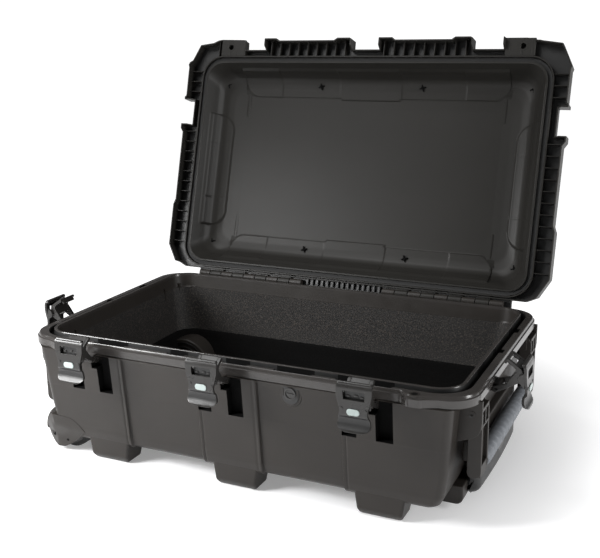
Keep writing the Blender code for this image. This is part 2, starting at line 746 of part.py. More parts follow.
def lever_joins():
    """Ears that hold the lever pin, and the curled lip along the thumb tab."""
    lip = [(-0.0095, -0.0420), (-LEVER_LIP, -0.0500), (-0.0130, -0.0515), (-0.0060, -0.0460)]
    ear = [(-0.0070, 0.0090), (0.0020, 0.0046), (0.0045, 0.0), (0.0020, -0.0046),
           (-0.0070, -0.0130)]
    return [prism_bm(lip, "X", -0.0235, 0.0235), prism_bm(ear, "X", -0.0258, -0.0210),
            prism_bm(ear, "X", 0.0210, 0.0258)]


def make_lever(name, lever_axis):
    """Front plate of the latch, with a window at the top and an oval lock button."""
    plate = prism_bm(lever_outline(), "Y", -0.0100, -0.0055)
    lever = add_object(f"{name}_lever", plate, latch_plastic())
    union(lever, lever_joins())
    window = prism_bm(rounded_outline(0.0175, 0.0060, 0.0040, (0.0, 0.0080), 3), "Y",
                      -0.02, -0.002)
    slot = prism_bm(rounded_outline(0.0110, 0.0075, 0.0070, (0.0, -0.0205), 4), "Y",
                    -0.02, -0.0078)
    pin = cylinder_bm(LEVER_BORE, (-0.04, 0, 0), (0.04, 0, 0), 8)
    cut(lever, [window, slot, pin])
    attach(lever, lever_axis)
    oval = prism_bm(rounded_outline(0.0104, 0.0052, 0.0050, (0.0, -0.0190), 4), "Y",
                    -0.0125, -0.0081)
    button = add_object(f"{name}_button", oval, button_plastic())
    attach(button, lever_axis)


def make_latches():
    for name, edge in latch_edges().items():
        name = f"latch_{name}"
        mount, claw_axis, lever_axis = latch_frames(name, edge)
        make_claw(name, claw_axis)
        make_lever(name, lever_axis)
        pivot_pin = add_object(f"{name}_pivot_pin",
                               cylinder_bm(0.0019, (-CLAW_FAR, 0, 0), (CLAW_FAR, 0, 0), 8),
                               steel(), smooth=True)
        pivot_pin.parent = mount
        pivot_pin.location = (0, -LATCH_PIVOT[0], LATCH_PIVOT[1])
        lever_pin = add_object(f"{name}_lever_pin",
                               cylinder_bm(0.0017, (-0.0256, 0, 0), (0.0256, 0, 0), 8),
                               steel(), smooth=True)
        lever_pin.parent = lever_axis


# ---- Foam, valve -----------------------------------------------------------------------
FOAM_TOP = 0.1120
FOAM_THICK = 0.0060
PAD_TOP = 0.0520


def make_foam():
    """Thin foam tray: a floor pad with upstanding walls, cut away round the wheel arches
    and the humps over the tubes."""
    outer = [(0.3410, 0.1970, 0.034, FLOOR_TOP + GAP), (0.3514, 0.2074, 0.042, 0.0505),
             (0.3608, 0.2138, 0.042, 0.0900), (0.3632, 0.2150, 0.042, FOAM_TOP)]
    top = [(0.3632 - FOAM_THICK, 0.2150 - FOAM_THICK, 0.036, FOAM_TOP)]
    inner = [(0.3608 - FOAM_THICK, 0.2138 - FOAM_THICK, 0.036, 0.0900),
             (0.3490 - FOAM_THICK, 0.2050 - FOAM_THICK, 0.036, PAD_TOP)]
    sections = [(hx, hy, MID_Y, r, z) for hx, hy, r, z in outer + top + inner]
    foam = add_object("foam_liner", loft_bm(sections), black_foam())
    tools = []
    for y in both_sides((0.0, WHEEL_NEAR + WHEEL_WIDTH + 0.0080 + GAP)):
        tools.append(cylinder_bm(ARCH_OUTER + 0.0006, (WHEEL_X, y[0], WHEEL_RADIUS),
                                 (WHEEL_X, y[1], WHEEL_RADIUS), 28))
    for y in (TUBE_Y, RING_WIDTH - TUBE_Y):
        tools.append(box_bm((-0.2505, 0.40), (y - TUNNEL_HALF - GAP, y + TUNNEL_HALF + GAP),
                            (0.0, TUNNEL_TOP + GAP)))
    cut(foam, tools)


def make_valve():
    cap = cylinder_bm(VALVE_RADIUS, (VALVE_X, -0.0225, VALVE_Z), (VALVE_X, -0.0100, VALVE_Z))
    obj = add_object("valve_cap", cap, latch_plastic(), smooth=True)
    slots = [box_bm((VALVE_X + sign * 0.0078 - 0.0012, VALVE_X + sign * 0.0078 + 0.0012),
                    (-0.03, -0.0180), (VALVE_Z - 0.0045, VALVE_Z + 0.0045))
             for sign in (-1, 1)]
    cut(obj, slots)
    disc = cylinder_bm(VALVE_RADIUS - 0.0005, (VALVE_X, -0.0097, VALVE_Z),
                       (VALVE_X, -0.0063, VALVE_Z))
    add_object("valve_membrane", disc, black_rubber(), smooth=True)


# ---- Bail handles ----------------------------------------------------------------------
GRIP_X = 0.4005
GRIP_Z = 0.0950
GRIP_RADIUS = 0.0145
CORE_RADIUS = 0.0065
HANDLE_PIN_Y = (0.0225, 0.0790)


def arm_outline(sign):
    """Side of a handle arm, round at the pivot and at the foot."""
    low, high = ARM_X
    top = arc((HANDLE_PIVOT_X + 0.0035, HANDLE_PIVOT_Z), 0.0130, 0, 180, 8)
    top = [(min(max(x, low), high), z) for x, z in top]
    foot = arc((GRIP_X, ARM_FOOT + 0.0110), 0.0110, 180, 360, 8)
    return [(sign * x, z) for x, z in top + foot]


def arm_cutters(sign):
    """Pockets in the outer faces of the arms, and the pivot bores."""
    outer_face = sorted((sign * 0.4040, sign * 0.4200))
    pockets = ((0.0360, 0.0665, 0.1040, 0.1640), (0.0360, 0.0495, 0.1690, 0.1900),
               (0.0530, 0.0665, 0.1690, 0.1900))
    tools = []
    for y0, y1, z0, z1 in pockets:
        for y in both_sides((y0, y1)):
            tools.append(box_bm(outer_face, y, (z0, z1)))
    for y in both_sides((0.0, ARM_Y[1] + 0.001)):
        tools.append(cylinder_bm(HANDLE_BORE, (sign * HANDLE_PIVOT_X, y[0], HANDLE_PIVOT_Z),
                                 (sign * HANDLE_PIVOT_X, y[1], HANDLE_PIVOT_Z), 12))
    return tools


def make_handle(name, sign):
    """Bail handle: two arms on a core rod, a rubber sleeve on the rod, and two pins."""
    pivot = (sign * HANDLE_PIVOT_X, 0, HANDLE_PIVOT_Z)
    axis = empty_at(f"{name}_axis", pivot)
    to_axis = (-pivot[0], 0, -pivot[2])
    grip_x = sign * GRIP_X
    core = cylinder_bm(CORE_RADIUS, (grip_x, ARM_Y[1] - 0.004, GRIP_Z),
                       (grip_x, RING_WIDTH - ARM_Y[1] + 0.004, GRIP_Z), 16)
    frame = add_object(f"{name}_frame", shifted(core, to_axis), shell_plastic())
    arms = [prism_bm(arm_outline(sign), "Y", *y) for y in both_sides(ARM_Y)]
    union(frame, [shifted(arm, to_axis) for arm in arms])
    cut(frame, [shifted(tool, to_axis) for tool in arm_cutters(sign)])
    attach(frame, axis)
    grip = cylinder_bm(GRIP_RADIUS, (grip_x, ARM_Y[1] + GAP, GRIP_Z),
                       (grip_x, RING_WIDTH - ARM_Y[1] - GAP, GRIP_Z), 20)
    sleeve = add_object(f"{name}_grip", shifted(grip, to_axis), grip_rubber(), smooth=True)
    bore = cylinder_bm(CORE_RADIUS + GAP, (grip_x, 0.02, GRIP_Z), (grip_x, 0.44, GRIP_Z), 16)
    cut(sleeve, [shifted(bore, to_axis)])
    attach(sleeve, axis)
    for side, y in zip(("front", "rear"), both_sides(HANDLE_PIN_Y)):
        pin = cylinder_bm(HANDLE_BORE - 0.0004, (0, y[0], 0), (0, y[1], 0), 8)
        obj = add_object(f"{name}_pin_{side}", pin, steel(), smooth=True)
        obj.location = pivot


# ---- Trolley handle and wheels ---------------------------------------------------------
OUTER_HALF = 0.0112
INNER_HALF = 0.0092
TUBE_WALL = 0.0015
HUB_RADIUS = 0.0290
AXLE_RADIUS = 0.0040
BAR_X = (0.3790, 0.3975)
BAR_BOW = 0.0040             # how far the ends of the grip fall back from its middle
BAR_LENGTH = 0.2680
BAR_Z = (0.0160, 0.0740)
BAR_BUTTON_Z = 0.0560


def tube_bm(half, wall, y, x_range):
    """Square tube along X, open at both ends."""
    outer = rounded_outline(half, half, 0.0015, (y, TUBE_Z), 1)
    inner = rounded_outline(half - wall, half - wall, 0.0008, (y, TUBE_Z), 1)
    rings = []
    for x, outline in ((x_range[0], outer), (x_range[1], outer), (x_range[1], inner),
                       (x_range[0], inner)):
        rings.append([(x, a, b) for a, b in outline])
    return closed_band_bm(rings)


def bar_outline():
    """Plan of the trolley grip: straight inside, bowed outside, with round ends."""
    half = BAR_LENGTH / 2
    radius = (half * half + BAR_BOW * BAR_BOW) / (2 * BAR_BOW)
    sweep = math.degrees(math.asin(half / radius))
    outer = arc((BAR_X[1] - radius, MID_Y), radius, -sweep, sweep, 12)
    corner = BAR_X[0] + 0.006
    inner = arc((corner, MID_Y + half - 0.006), 0.006, 90, 180, 3)
    inner += arc((corner, MID_Y - half + 0.006), 0.006, 180, 270, 3)
    return outer + inner


def make_trolley():
    outer_x = (-0.240, 0.356)
    inner_x = (-0.230, 0.3890)
    for side, y in (("front", TUBE_Y), ("rear", RING_WIDTH - TUBE_Y)):
        add_object(f"trolley_outer_tube_{side}", tube_bm(OUTER_HALF, TUBE_WALL, y, outer_x),
                   aluminium())
        add_object(f"trolley_inner_tube_{side}", tube_bm(INNER_HALF, TUBE_WALL, y, inner_x),
                   aluminium())
    bar = add_object("trolley_grip", prism_bm(bar_outline(), "Z", *BAR_Z), shell_plastic())
    under = [(BAR_X[1] - 0.0190, 0.0), (BAR_X[1] - 0.0170, BAR_Z[0] - 0.001)]
    under += arc((BAR_X[1] - 0.0200, BAR_Z[0] + 0.0200), 0.0205, -70, 0, 6)
    under += [(BAR_X[1] + 0.01, BAR_Z[0] + 0.0200), (BAR_X[1] + 0.01, 0.0)]
    cut(bar, [prism_bm(under, "Y", 0.10, 0.36)])
    reach = INNER_HALF + GAP
    sockets = [box_bm((0.36, inner_x[1] + 0.0005), (y - reach, y + reach),
                      (TUBE_Z - reach, TUBE_Z + reach))
               for y in (TUBE_Y, RING_WIDTH - TUBE_Y)]
    half_y, half_z, centre = 0.0230, 0.0080, (MID_Y, BAR_BUTTON_Z)
    slot = rounded_outline(half_y, half_z, 0.0070, centre, 3)
    cut(bar, sockets + [prism_bm(slot, "X", BAR_X[1] - 0.0080, 0.43)])
    button = rounded_outline(half_y - 0.0004, half_z - 0.0004, 0.0066, centre, 3)
    add_object("trolley_button", prism_bm(button, "X", BAR_X[1] - 0.0055, BAR_X[1]), latch_plastic())


def make_wheel(side, y):
    """Hub and tyre on a fixed axle, in the bay between y[0] and y[1]."""
    centre = (WHEEL_X, (y[0] + y[1]) / 2, WHEEL_RADIUS)
    axis = empty_at(f"wheel_{side}_axis", centre)
    half = WHEEL_WIDTH / 2 - 0.003
    hub = add_object(f"wheel_{side}_hub", cylinder_bm(HUB_RADIUS, (0, -half, 0), (0, half, 0), 24),
                     latch_plastic(), smooth=True)
    cut(hub, [cylinder_bm(AXLE_RADIUS + GAP, (0, -0.03, 0), (0, 0.03, 0), 16)])
    tyre = add_object(f"wheel_{side}_tyre",
                      cylinder_bm(WHEEL_RADIUS, (0, -half, 0), (0, half, 0), 40),
                      black_rubber(), smooth=True)
    cut(tyre, [cylinder_bm(HUB_RADIUS + GAP, (0, -0.03, 0), (0, 0.03, 0), 24)])
    attach(hub, axis)
    attach(tyre, axis)
    axle = cylinder_bm(AXLE_RADIUS, (WHEEL_X, y[0] - 0.004, WHEEL_RADIUS),
                       (WHEEL_X, y[1] + 0.004, WHEEL_RADIUS), 12)
    add_object(f"wheel_{side}_axle", axle, steel(), smooth=True)


def make_wheels():
    for side, y in zip(("front", "rear"), both_sides((WHEEL_NEAR, WHEEL_NEAR + WHEEL_WIDTH))):
        make_wheel(side, y)


def footprint_middle():
    """Middle of the open case's extent along Y: latch lip in front, lid top behind."""
    front = -rotated_outward(LEVER_PIVOT, LATCH_PIVOT, LATCH_OPEN_DEG)[0] - LEVER_LIP
    back = HINGE_Y + (LID_CENTRE + LID_TOP_HALF) * math.sin(LEAN)
    back += (LID_DEPTH - LID_MATE) * math.cos(LEAN)
    return (front + back) / 2


def move_to_origin():
    """Stand the case with the middle of its footprint at the world origin."""
    loose = [obj for obj in bpy.data.objects if obj.parent is None]
    root = empty_at("case_frame", (0, -footprint_middle(), 0))
    for obj in loose:
        obj.parent = root


def main():
    global parts, cutters
    clear_scene()
    parts = new_collection("hard_equipment_case")
    cutters = new_collection("cutters")
    make_base()
    make_lid()
    make_hinge_pins()
    make_latches()
    make_foam()
    make_valve()
    make_handle("handle_right", 1)
    make_handle("handle_left", -1)
    make_trolley()
    make_wheels()
    move_to_origin()


main()
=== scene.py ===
"""Looks for the wheeled hard equipment case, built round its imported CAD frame.

Lengths are metres. Design coordinates: x along the case, y from the front edge of the
sealing ring, z up from the floor. Lid coordinates: x, s = distance from the hinge, and
z towards the inside of the case.
"""

import math

import bmesh
import bpy
import numpy as np
from mathutils import Matrix, Vector


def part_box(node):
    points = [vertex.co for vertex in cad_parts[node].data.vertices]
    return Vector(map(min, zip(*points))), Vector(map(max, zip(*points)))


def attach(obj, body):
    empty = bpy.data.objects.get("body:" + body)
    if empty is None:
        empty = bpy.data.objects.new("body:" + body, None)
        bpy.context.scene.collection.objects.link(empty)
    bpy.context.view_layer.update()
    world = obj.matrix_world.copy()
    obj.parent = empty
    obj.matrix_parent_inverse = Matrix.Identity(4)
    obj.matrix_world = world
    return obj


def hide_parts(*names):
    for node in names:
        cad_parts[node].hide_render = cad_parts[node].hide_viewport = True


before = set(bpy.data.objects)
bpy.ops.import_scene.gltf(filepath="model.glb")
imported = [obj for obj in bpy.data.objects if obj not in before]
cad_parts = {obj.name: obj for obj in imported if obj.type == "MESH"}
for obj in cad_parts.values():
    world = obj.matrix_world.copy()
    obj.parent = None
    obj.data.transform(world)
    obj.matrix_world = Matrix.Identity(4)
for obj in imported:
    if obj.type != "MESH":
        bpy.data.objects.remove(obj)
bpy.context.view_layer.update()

# ---- Dimensions shared with the CAD ----------------------------------------------------
HALF_X, RING_WIDTH = 0.3825, 0.460
MID_Y = RING_WIDTH / 2
HINGE_Y, HINGE_Z = 0.479, 0.229
LID_LEAN = math.radians(73.5)
LID_MATE = 0.0010
LID_CENTRE = 0.249
TONGUE_TOP, FLANGE_TOP, FLANGE_UNDER = 0.2315, 0.2275, 0.2080
FLOOR_TOP = 0.0405
STATIONS = (-0.257, 0.0, 0.257)
LATCH_OFFSET = -0.011
PILASTER, PANEL_END = 0.056, 0.203
HANDLE_X, HANDLE_Z = 0.3945, 0.1860
GRIP_X, GRIP_Z, GRIP_RADIUS = 0.4005, 0.0950, 0.0145
WHEEL_X, WHEEL_Z = -0.354, 0.038
TUBE_Y = 0.155
RING_RADIUS = 0.0445
PADLOCK_X = 0.321
VALVE_X, VALVE_Z = 0.1165, 0.195
WHEEL_BAYS = (("front", (0.0175, 0.0575)), ("rear", (0.4025, 0.4425)))
SIDE_LATCH_Y = 0.125
KNUCKLE_START, KNUCKLE_PITCH, KNUCKLE_COUNT = 0.090, 0.0275, 9
KNUCKLE_RADIUS, KNUCKLE_GAP = 0.0075, 0.0005
BRACKET_Y = (0.0235, 0.0288)
ARM_Y = (0.0295, 0.0730)
GRIP_START = 0.0733
FRONT, RIGHT, REAR, LEFT, CORNER = range(5)
LATCH_PIVOT = (0.0300, 0.2030)
LEVER_PIVOT = (0.0673, 0.2257)
LATCH_TIP = math.radians(35)

pin_low, pin_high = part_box("hinge_pin_left")
ORIGIN_Y = HINGE_Y - (pin_low.y + pin_high.y) / 2
TO_WORLD = Matrix.Translation((0, -ORIGIN_Y, 0))
LID_FRAME = (TO_WORLD @ Matrix.Translation((0, HINGE_Y, HINGE_Z))
             @ Matrix.Rotation(LID_LEAN, 4, "X"))


# ---- Materials -------------------------------------------------------------------------
def set_inputs(node, **values):
    """Set inputs of a node by name, with _ for a space."""
    for key, value in values.items():
        node.inputs[key.replace("_", " ")].default_value = value


class Nodes:
    """A material under construction: short calls that add and link its nodes."""

    def __init__(self, name, colour, roughness, metallic=0.0):
        self.mat = bpy.data.materials.new(name)
        self.mat.use_nodes = True
        self.tree = self.mat.node_tree
        self.shader = self.tree.nodes["Principled BSDF"]
        set_inputs(self.shader, Base_Color=(*colour, 1), Roughness=roughness, Metallic=metallic)
        self.place = self.tree.nodes.new("ShaderNodeTexCoord").outputs["Object"]

    def link(self, a, b):
        self.tree.links.new(a, b)

    def noise(self, scale, detail, rough=0.5):
        node = self.tree.nodes.new("ShaderNodeTexNoise")
        set_inputs(node, Scale=scale, Detail=detail, Roughness=rough)
        self.link(self.place, node.inputs["Vector"])
        return node.outputs["Fac"]

    def spread(self, value, low, high, start=0.3, end=0.7):
        """Map value from start..end to low..high."""
        node = self.tree.nodes.new("ShaderNodeMapRange")
        set_inputs(node, From_Min=start, From_Max=end, To_Min=low, To_Max=high)
        self.link(value, node.inputs["Value"])
        return node.outputs["Result"]

    def colours(self, value, stops):
        node = self.tree.nodes.new("ShaderNodeValToRGB")
        ramp = node.color_ramp
        while len(ramp.elements) < len(stops):
            ramp.elements.new(0.5)
        for element, (position, colour) in zip(ramp.elements, stops):
            element.position = position
            element.color = (*colour, 1)
        self.link(value, node.inputs["Fac"])
        self.link(node.outputs["Color"], self.shader.inputs["Base Color"])

    def bump(self, heights):
        """Stack bumps: heights is a list of (value, strength, distance)."""
        last = None
        for value, strength, distance in heights:
            node = self.tree.nodes.new("ShaderNodeBump")
            set_inputs(node, Strength=strength, Distance=distance)
            self.link(value, node.inputs["Height"])
            if last is not None:
                self.link(last, node.inputs["Normal"])
            last = node.outputs["Normal"]
        self.link(last, self.shader.inputs["Normal"])


def grained_plastic(name, colour, roughness, grain=900, strength=0.18, spread=0.12, uneven=0.10,
                    shine=0.5):
    """Moulded plastic: fine grain, slow changes of tone and gloss."""
    made = Nodes(name, colour, roughness)
    slow = made.noise(9, 4, 0.6)
    low = tuple(c * (1 - spread) for c in colour)
    high = tuple(c * (1 + spread) for c in colour)
    made.colours(slow, ((0.3, low), (0.7, high)))
    made.link(made.spread(made.noise(35, 3), roughness - uneven / 2, roughness + uneven / 2),
              made.shader.inputs["Roughness"])
    made.bump(((made.noise(grain, 2), strength, 0.0004), (made.noise(26, 2), uneven, 0.0006)))
    set_inputs(made.shader, Specular_IOR_Level=shine)
    return made.mat


def speckled_plastic():
    """Coarse pebbled wall of the inside."""
    made = Nodes("speckled_wall", (0.02, 0.018, 0.015), 0.62)
    fleck = made.noise(330, 4, 0.8)
    made.colours(fleck, ((0.42, (0.0020, 0.0017, 0.0015)), (0.52, (0.0065, 0.0054, 0.0046)),
                         (0.60, (0.042, 0.034, 0.028))))
    made.bump(((fleck, 0.7, 0.0012),))
    return made.mat


def foam_material():
    """Black foam with open cells."""
    made = Nodes("open_cell_foam", (0.003, 0.003, 0.003), 0.98)
    set_inputs(made.shader, Specular_IOR_Level=0.1)
    cell = made.noise(700, 3, 0.7)
    made.colours(cell, ((0.35, (0.0012, 0.0012, 0.0012)), (0.7, (0.0050, 0.0048, 0.0046))))
    made.bump(((cell, 0.6, 0.001), (made.noise(60, 2), 0.2, 0.002)))
    return made.mat


def rubber_material(name, colour, roughness):
    made = Nodes(name, colour, roughness)
    tone = made.noise(60, 4, 0.6)
    made.colours(tone, ((0.3, tuple(c * 0.85 for c in colour)),
                        (0.7, tuple(c * 1.15 for c in colour))))
    made.bump(((made.noise(1300, 2), 0.25, 0.0003),))
    return made.mat


def metal_material(name, colour, roughness):
    made = Nodes(name, colour, roughness, 1.0)
    made.link(made.spread(made.noise(240, 3), roughness - 0.08, roughness + 0.1),
              made.shader.inputs["Roughness"])
    made.bump(((made.noise(900, 2), 0.06, 0.0002),))
    return made.mat


def painted_shade_black():
    """Painted shade: near-black for the depth of an open pocket, slot or hole, where hardly any
    light comes back.
    """
    made = Nodes("painted_shade_black", (0.0025, 0.0025, 0.0025), 0.9)
    set_inputs(made.shader, Specular_IOR_Level=0.1)
    made.bump(((made.noise(500, 2), 0.3, 0.0005),))
    return made.mat


SHELL = grained_plastic("shell_plastic", (0.0215, 0.0187, 0.0164), 0.42, shine=0.26)
# Painted highlight: a lighter, glossier copy of the shell plastic for the rim's edges.
PAINTED_RIM_HIGHLIGHT = grained_plastic("rim_painted_highlight", (0.0330, 0.0300, 0.0280), 0.22, 900, 0.06, 0.10, 0.04)
SMOOTH = grained_plastic("smooth_plastic", (0.0190, 0.0180, 0.0162), 0.42, 700, 0.08, 0.04,
                         0.015, 0.2)
LATCH = grained_plastic("latch_plastic", (0.016, 0.015, 0.014), 0.30, 1100, 0.10)
# Black plastic of small parts; also painted into the rim groove and the thumb scoops as shade.
BLACK = grained_plastic("black_plastic_and_shade", (0.009, 0.009, 0.009), 0.42, 900, 0.12)
WALL = speckled_plastic()
# Painted shade: near-black standing in for the shade inside pockets, slots and holes.
PAINTED_SHADE = painted_shade_black()
FOAM = foam_material()
GRIP = rubber_material("grip_rubber", (0.150, 0.160, 0.175), 0.55)
TYRE = rubber_material("tyre_rubber", (0.018, 0.018, 0.018), 0.8)
SEAL = rubber_material("seal_rubber", (0.010, 0.010, 0.010), 0.7)
STEEL = metal_material("pin_steel", (0.50, 0.49, 0.47), 0.34)
ALUMINIUM = metal_material("tube_aluminium", (0.42, 0.43, 0.44), 0.36)
BUTTON = grained_plastic("button_plastic", (0.36, 0.42, 0.405), 0.30, 900, 0.05, 0.05)


# ---- Mesh helpers ----------------------------------------------------------------------
def finish_mesh(name, verts, faces, mats, body, slot, place=TO_WORLD, indices=None, sharp=38):
    """Object from raw geometry, smooth, placed and riding on its body."""
    mesh = bpy.data.meshes.new(name)
    mesh.from_pydata([tuple(v) for v in verts], [], faces)
    for mat in mats:
        mesh.materials.append(mat)
    if indices is not None:
        mesh.polygons.foreach_set("material_index", indices)
    mesh.transform(place)
    mesh.update()
    mesh.shade_smooth()
    mesh.set_sharp_from_angle(angle=math.radians(sharp))
    obj = bpy.data.objects.new(name, mesh)
    bpy.context.scene.collection.objects.link(obj)
    even = obj.modifiers.new("even_shading", "WEIGHTED_NORMAL")
    even.keep_sharp = True
    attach(obj, body)
    return obj


class Build:
    """Collects the parts of one piece, with the index of each face's material."""

    def __init__(self):
        self.verts, self.faces, self.mats = [], [], []

    def add(self, verts, faces, mat=0, place=None):
        base = len(self.verts)
        for v in verts:
            v = Vector(v)
            self.verts.append(place @ v if place else v)
        self.faces += [tuple(base + i for i in f) for f in faces]
        self.mats += [mat] * len(faces)

    def bm(self, bm, mat=0, place=None):
        bmesh.ops.recalc_face_normals(bm, faces=bm.faces)
        bm.verts.ensure_lookup_table()
        bm.verts.index_update()
        self.add([v.co.copy() for v in bm.verts],
                 [[v.index for v in f.verts] for f in bm.faces], mat, place)
        bm.free()

    def object(self, name, mats, body, slot, place=TO_WORLD, sharp=38):
        return finish_mesh(name, self.verts, self.faces, mats, body, slot, place, self.mats,
                           sharp)


def bevelled(bm, width, segments, angle=30):
    """Round the edges that are sharper than angle."""
    if width <= 0:
        return bm
    bmesh.ops.recalc_face_normals(bm, faces=bm.faces)
    limit = math.radians(angle)
    edges = [e for e in bm.edges if len(e.link_faces) == 2 and e.calc_face_angle(0) > limit]
    bmesh.ops.bevel(bm, geom=edges, offset=width, offset_type="OFFSET", segments=segments,
                    profile=0.5, affect="EDGES", clamp_overlap=True)
    return bm


def block(x, y, z, width=0.0008, segments=2):
    """Box between the two ends of x, y and z, with round edges."""
    bm = bmesh.new()
    bmesh.ops.create_cube(bm, size=1)
    bmesh.ops.scale(bm, vec=(x[1] - x[0], y[1] - y[0], z[1] - z[0]), verts=bm.verts)
    bmesh.ops.translate(bm, vec=((x[0] + x[1]) / 2, (y[0] + y[1]) / 2, (z[0] + z[1]) / 2),
                        verts=bm.verts)
    return bevelled(bm, width, segments)


def prism(outline, axis, low, high, width=0.0008, segments=2, angle=30):
    """Extruded outline: X takes (y, z), Y takes (x, z) and Z takes (x, y) points."""
    place = {"X": lambda a, b, c: (c, a, b), "Y": lambda a, b, c: (a, c, b),
             "Z": lambda a, b, c: (a, b, c)}[axis]
    bm = bmesh.new()
    ends = [[bm.verts.new(place(a, b, level)) for a, b in outline] for level in (low, high)]
    bm.faces.new(ends[0])
    bm.faces.new(ends[1])
    for i in range(len(outline)):
        j = (i + 1) % len(outline)
        bm.faces.new((ends[0][i], ends[0][j], ends[1][j], ends[1][i]))
    return bevelled(bm, width, segments, angle)


def rod(radius, start, end, segments, width=0.0004):
    """Solid round bar between two points."""
    start, end = Vector(start), Vector(end)
    axis = end - start
    turn = axis.to_track_quat("Z", "Y").to_matrix().to_4x4()
    bm = bmesh.new()
    bmesh.ops.create_cone(bm, cap_ends=True, segments=segments, radius1=radius, radius2=radius,
                          depth=axis.length,
                          matrix=Matrix.Translation((start + end) / 2) @ turn)
    return bevelled(bm, width, 2, 50)


def ring_rod(outer, inner, start, end, segments=32):
    """Tube wall between two points."""
    start, end = Vector(start), Vector(end)
    turn = (end - start).to_track_quat("Z", "Y").to_matrix()
    rows = []
    for centre, radius in ((start, outer), (end, outer), (end, inner), (start, inner)):
        rows.append([centre + turn @ Vector((radius * math.cos(a), radius * math.sin(a), 0))
                     for a in np.linspace(0, 2 * math.pi, segments, endpoint=False)])
    bm = bmesh.new()
    rings = [[bm.verts.new(p) for p in row] for row in rows]
    for k, ring in enumerate(rings):
        nxt = rings[(k + 1) % 4]
        for i in range(segments):
            j = (i + 1) % segments
            bm.faces.new((ring[i], ring[j], nxt[j], nxt[i]))
    return bm


def arc(centre, radius, start, end, steps):
    """Points along an arc; start and end are angles in degrees."""
    return [(centre[0] + radius * math.cos(a), centre[1] + radius * math.sin(a))
            for a in np.radians(np.linspace(start, end, steps + 1))]


def rounded(half_a, half_b, radius, centre, steps=6):
    """Outline of a rectangle with round corners."""
    points = []
    for sa, sb, start in ((1, 1, 0), (-1, 1, 90), (-1, -1, 180), (1, -1, 270)):
        corner = (centre[0] + sa * (half_a - radius), centre[1] + sb * (half_b - radius))
        points += arc(corner, radius, start, start + 90, steps)
    return points


def ease(t):
    """Smooth step from 0 to 1."""
    t = np.clip(t, 0, 1)
    return t * t * (3 - 2 * t)


def band(value, low, high, soft):
    """1 between low and high, easing to 0 over soft inside each end."""
    return ease((value - low) / soft) * ease((high - value) / soft)


def samples(low, high, step, features, tight=0.0004):
    """Even samples with extra ones at each side of the feature values."""
    values = list(np.arange(low, high + step / 2, step))
    extra = [f + d for f in features for d in (-tight, tight) if low < f + d < high]
    values = [v for v in values if all(abs(v - e) > step * 0.3 for e in extra)]
    return np.array(sorted(values + extra))


class Plan:
    """Columns shared by all rings of a shell, so that rings join row by row.

    Each column lies on a straight side, FRONT to LEFT, or on the corner after that side.
    A corner has the number of its side plus CORNER.
    """

    def __init__(self, xs, ys, corner):
        angles = np.radians(np.linspace(0, 90, corner))
        sides = ((FRONT, xs), (RIGHT, ys), (REAR, xs[::-1]), (LEFT, ys[::-1]))
        kinds = []
        for side, values in sides:
            kinds += [(side, value, 0.0) for value in values]
            kinds += [(CORNER + side, 0.0, a + (side - 1) * math.pi / 2) for a in angles]
        self.kind, self.value, self.angle = (np.array(column) for column in zip(*kinds))
        self.count = len(kinds)

    def ring(self, hx, hy, cy, r):
        """Points and outward directions of a rounded rectangle, as (count, 2) arrays."""
        k, v, a = self.kind, self.value, self.angle
        sx = np.where(np.isin(k, (CORNER + FRONT, CORNER + RIGHT)), 1, -1)
        sy = np.where(np.isin(k, (CORNER + RIGHT, CORNER + REAR)), 1, -1)
        x = sx * (hx - r) + r * np.cos(a)
        y = cy + sy * (hy - r) + r * np.sin(a)
        nx, ny = np.cos(a), np.sin(a)
        sides = [k == FRONT, k == REAR, k == RIGHT, k == LEFT]
        x = np.select(sides, [v, v, hx, -hx], x)
        y = np.select(sides, [cy - hy, cy + hy, v, v], y)
        nx = np.select(sides, [0, 0, 1, -1], nx)
        ny = np.select(sides, [-1, 1, 0, 0], ny)
        return np.stack([x, y], 1), np.stack([nx, ny], 1)


def skin(rows, closed_rows=False):
    """Vertices and quads of rings stacked in rows, wrapped round in each row."""
    rows = [np.asarray(r) for r in rows]
    count, height = len(rows[0]), len(rows)
    verts = np.concatenate(rows)
    i = np.arange(count)
    j = (i + 1) % count
    faces = []
    for k in range(height if closed_rows else height - 1):
        a, b = k * count, ((k + 1) % height) * count
        faces.append(np.stack([a + i, a + j, b + j, b + i], 1))
    return verts, [tuple(int(q) for q in f) for f in np.concatenate(faces)]


def capped(rows, flipped=False):
    """A skin whose first and last rings are closed by faces."""
    verts, faces = skin(rows)
    count = len(rows[0])
    first = tuple(range(count))
    last = tuple(range((len(rows) - 1) * count, len(rows) * count))
    faces += [first, last[::-1]] if flipped else [first[::-1], last]
    return verts, faces


def soften(rows, turns):
    """Average every row but the first and the last with its neighbours, in place."""
    for _ in range(turns):
        rows[1:-1] = (rows[:-2] + 2 * rows[1:-1] + rows[2:]) / 4


def smooth_wall(knots, step, turns):
    """Resample knots (half x, half y, corner radius, z) at an even step and soften them."""
    knots = np.array(knots)
    steps = np.linalg.norm(np.diff(knots[:, [0, 3]], axis=0), axis=1)
    length = np.concatenate([[0], np.cumsum(steps)])
    at = np.linspace(0, length[-1], max(4, int(length[-1] / step)))
    rows = np.stack([np.interp(at, length, column) for column in knots.T], 1)
    soften(rows, turns)
    return rows


def at_height(xy, z):
    """Points of a flat ring at the height z."""
    return np.column_stack([xy, np.full(len(xy), z)])


def grown_ring(plan, grown, middle):
    """Outline of the sealing ring, moved outwards by grown."""
    return plan.ring(HALF_X + grown, MID_Y + grown, middle, RING_RADIUS + grown)


def both_sides(y_range):
    """A range of y near the front and its mirror image near the back."""
    low, high = y_range
    return (low, high), (RING_WIDTH - high, RING_WIDTH - low)
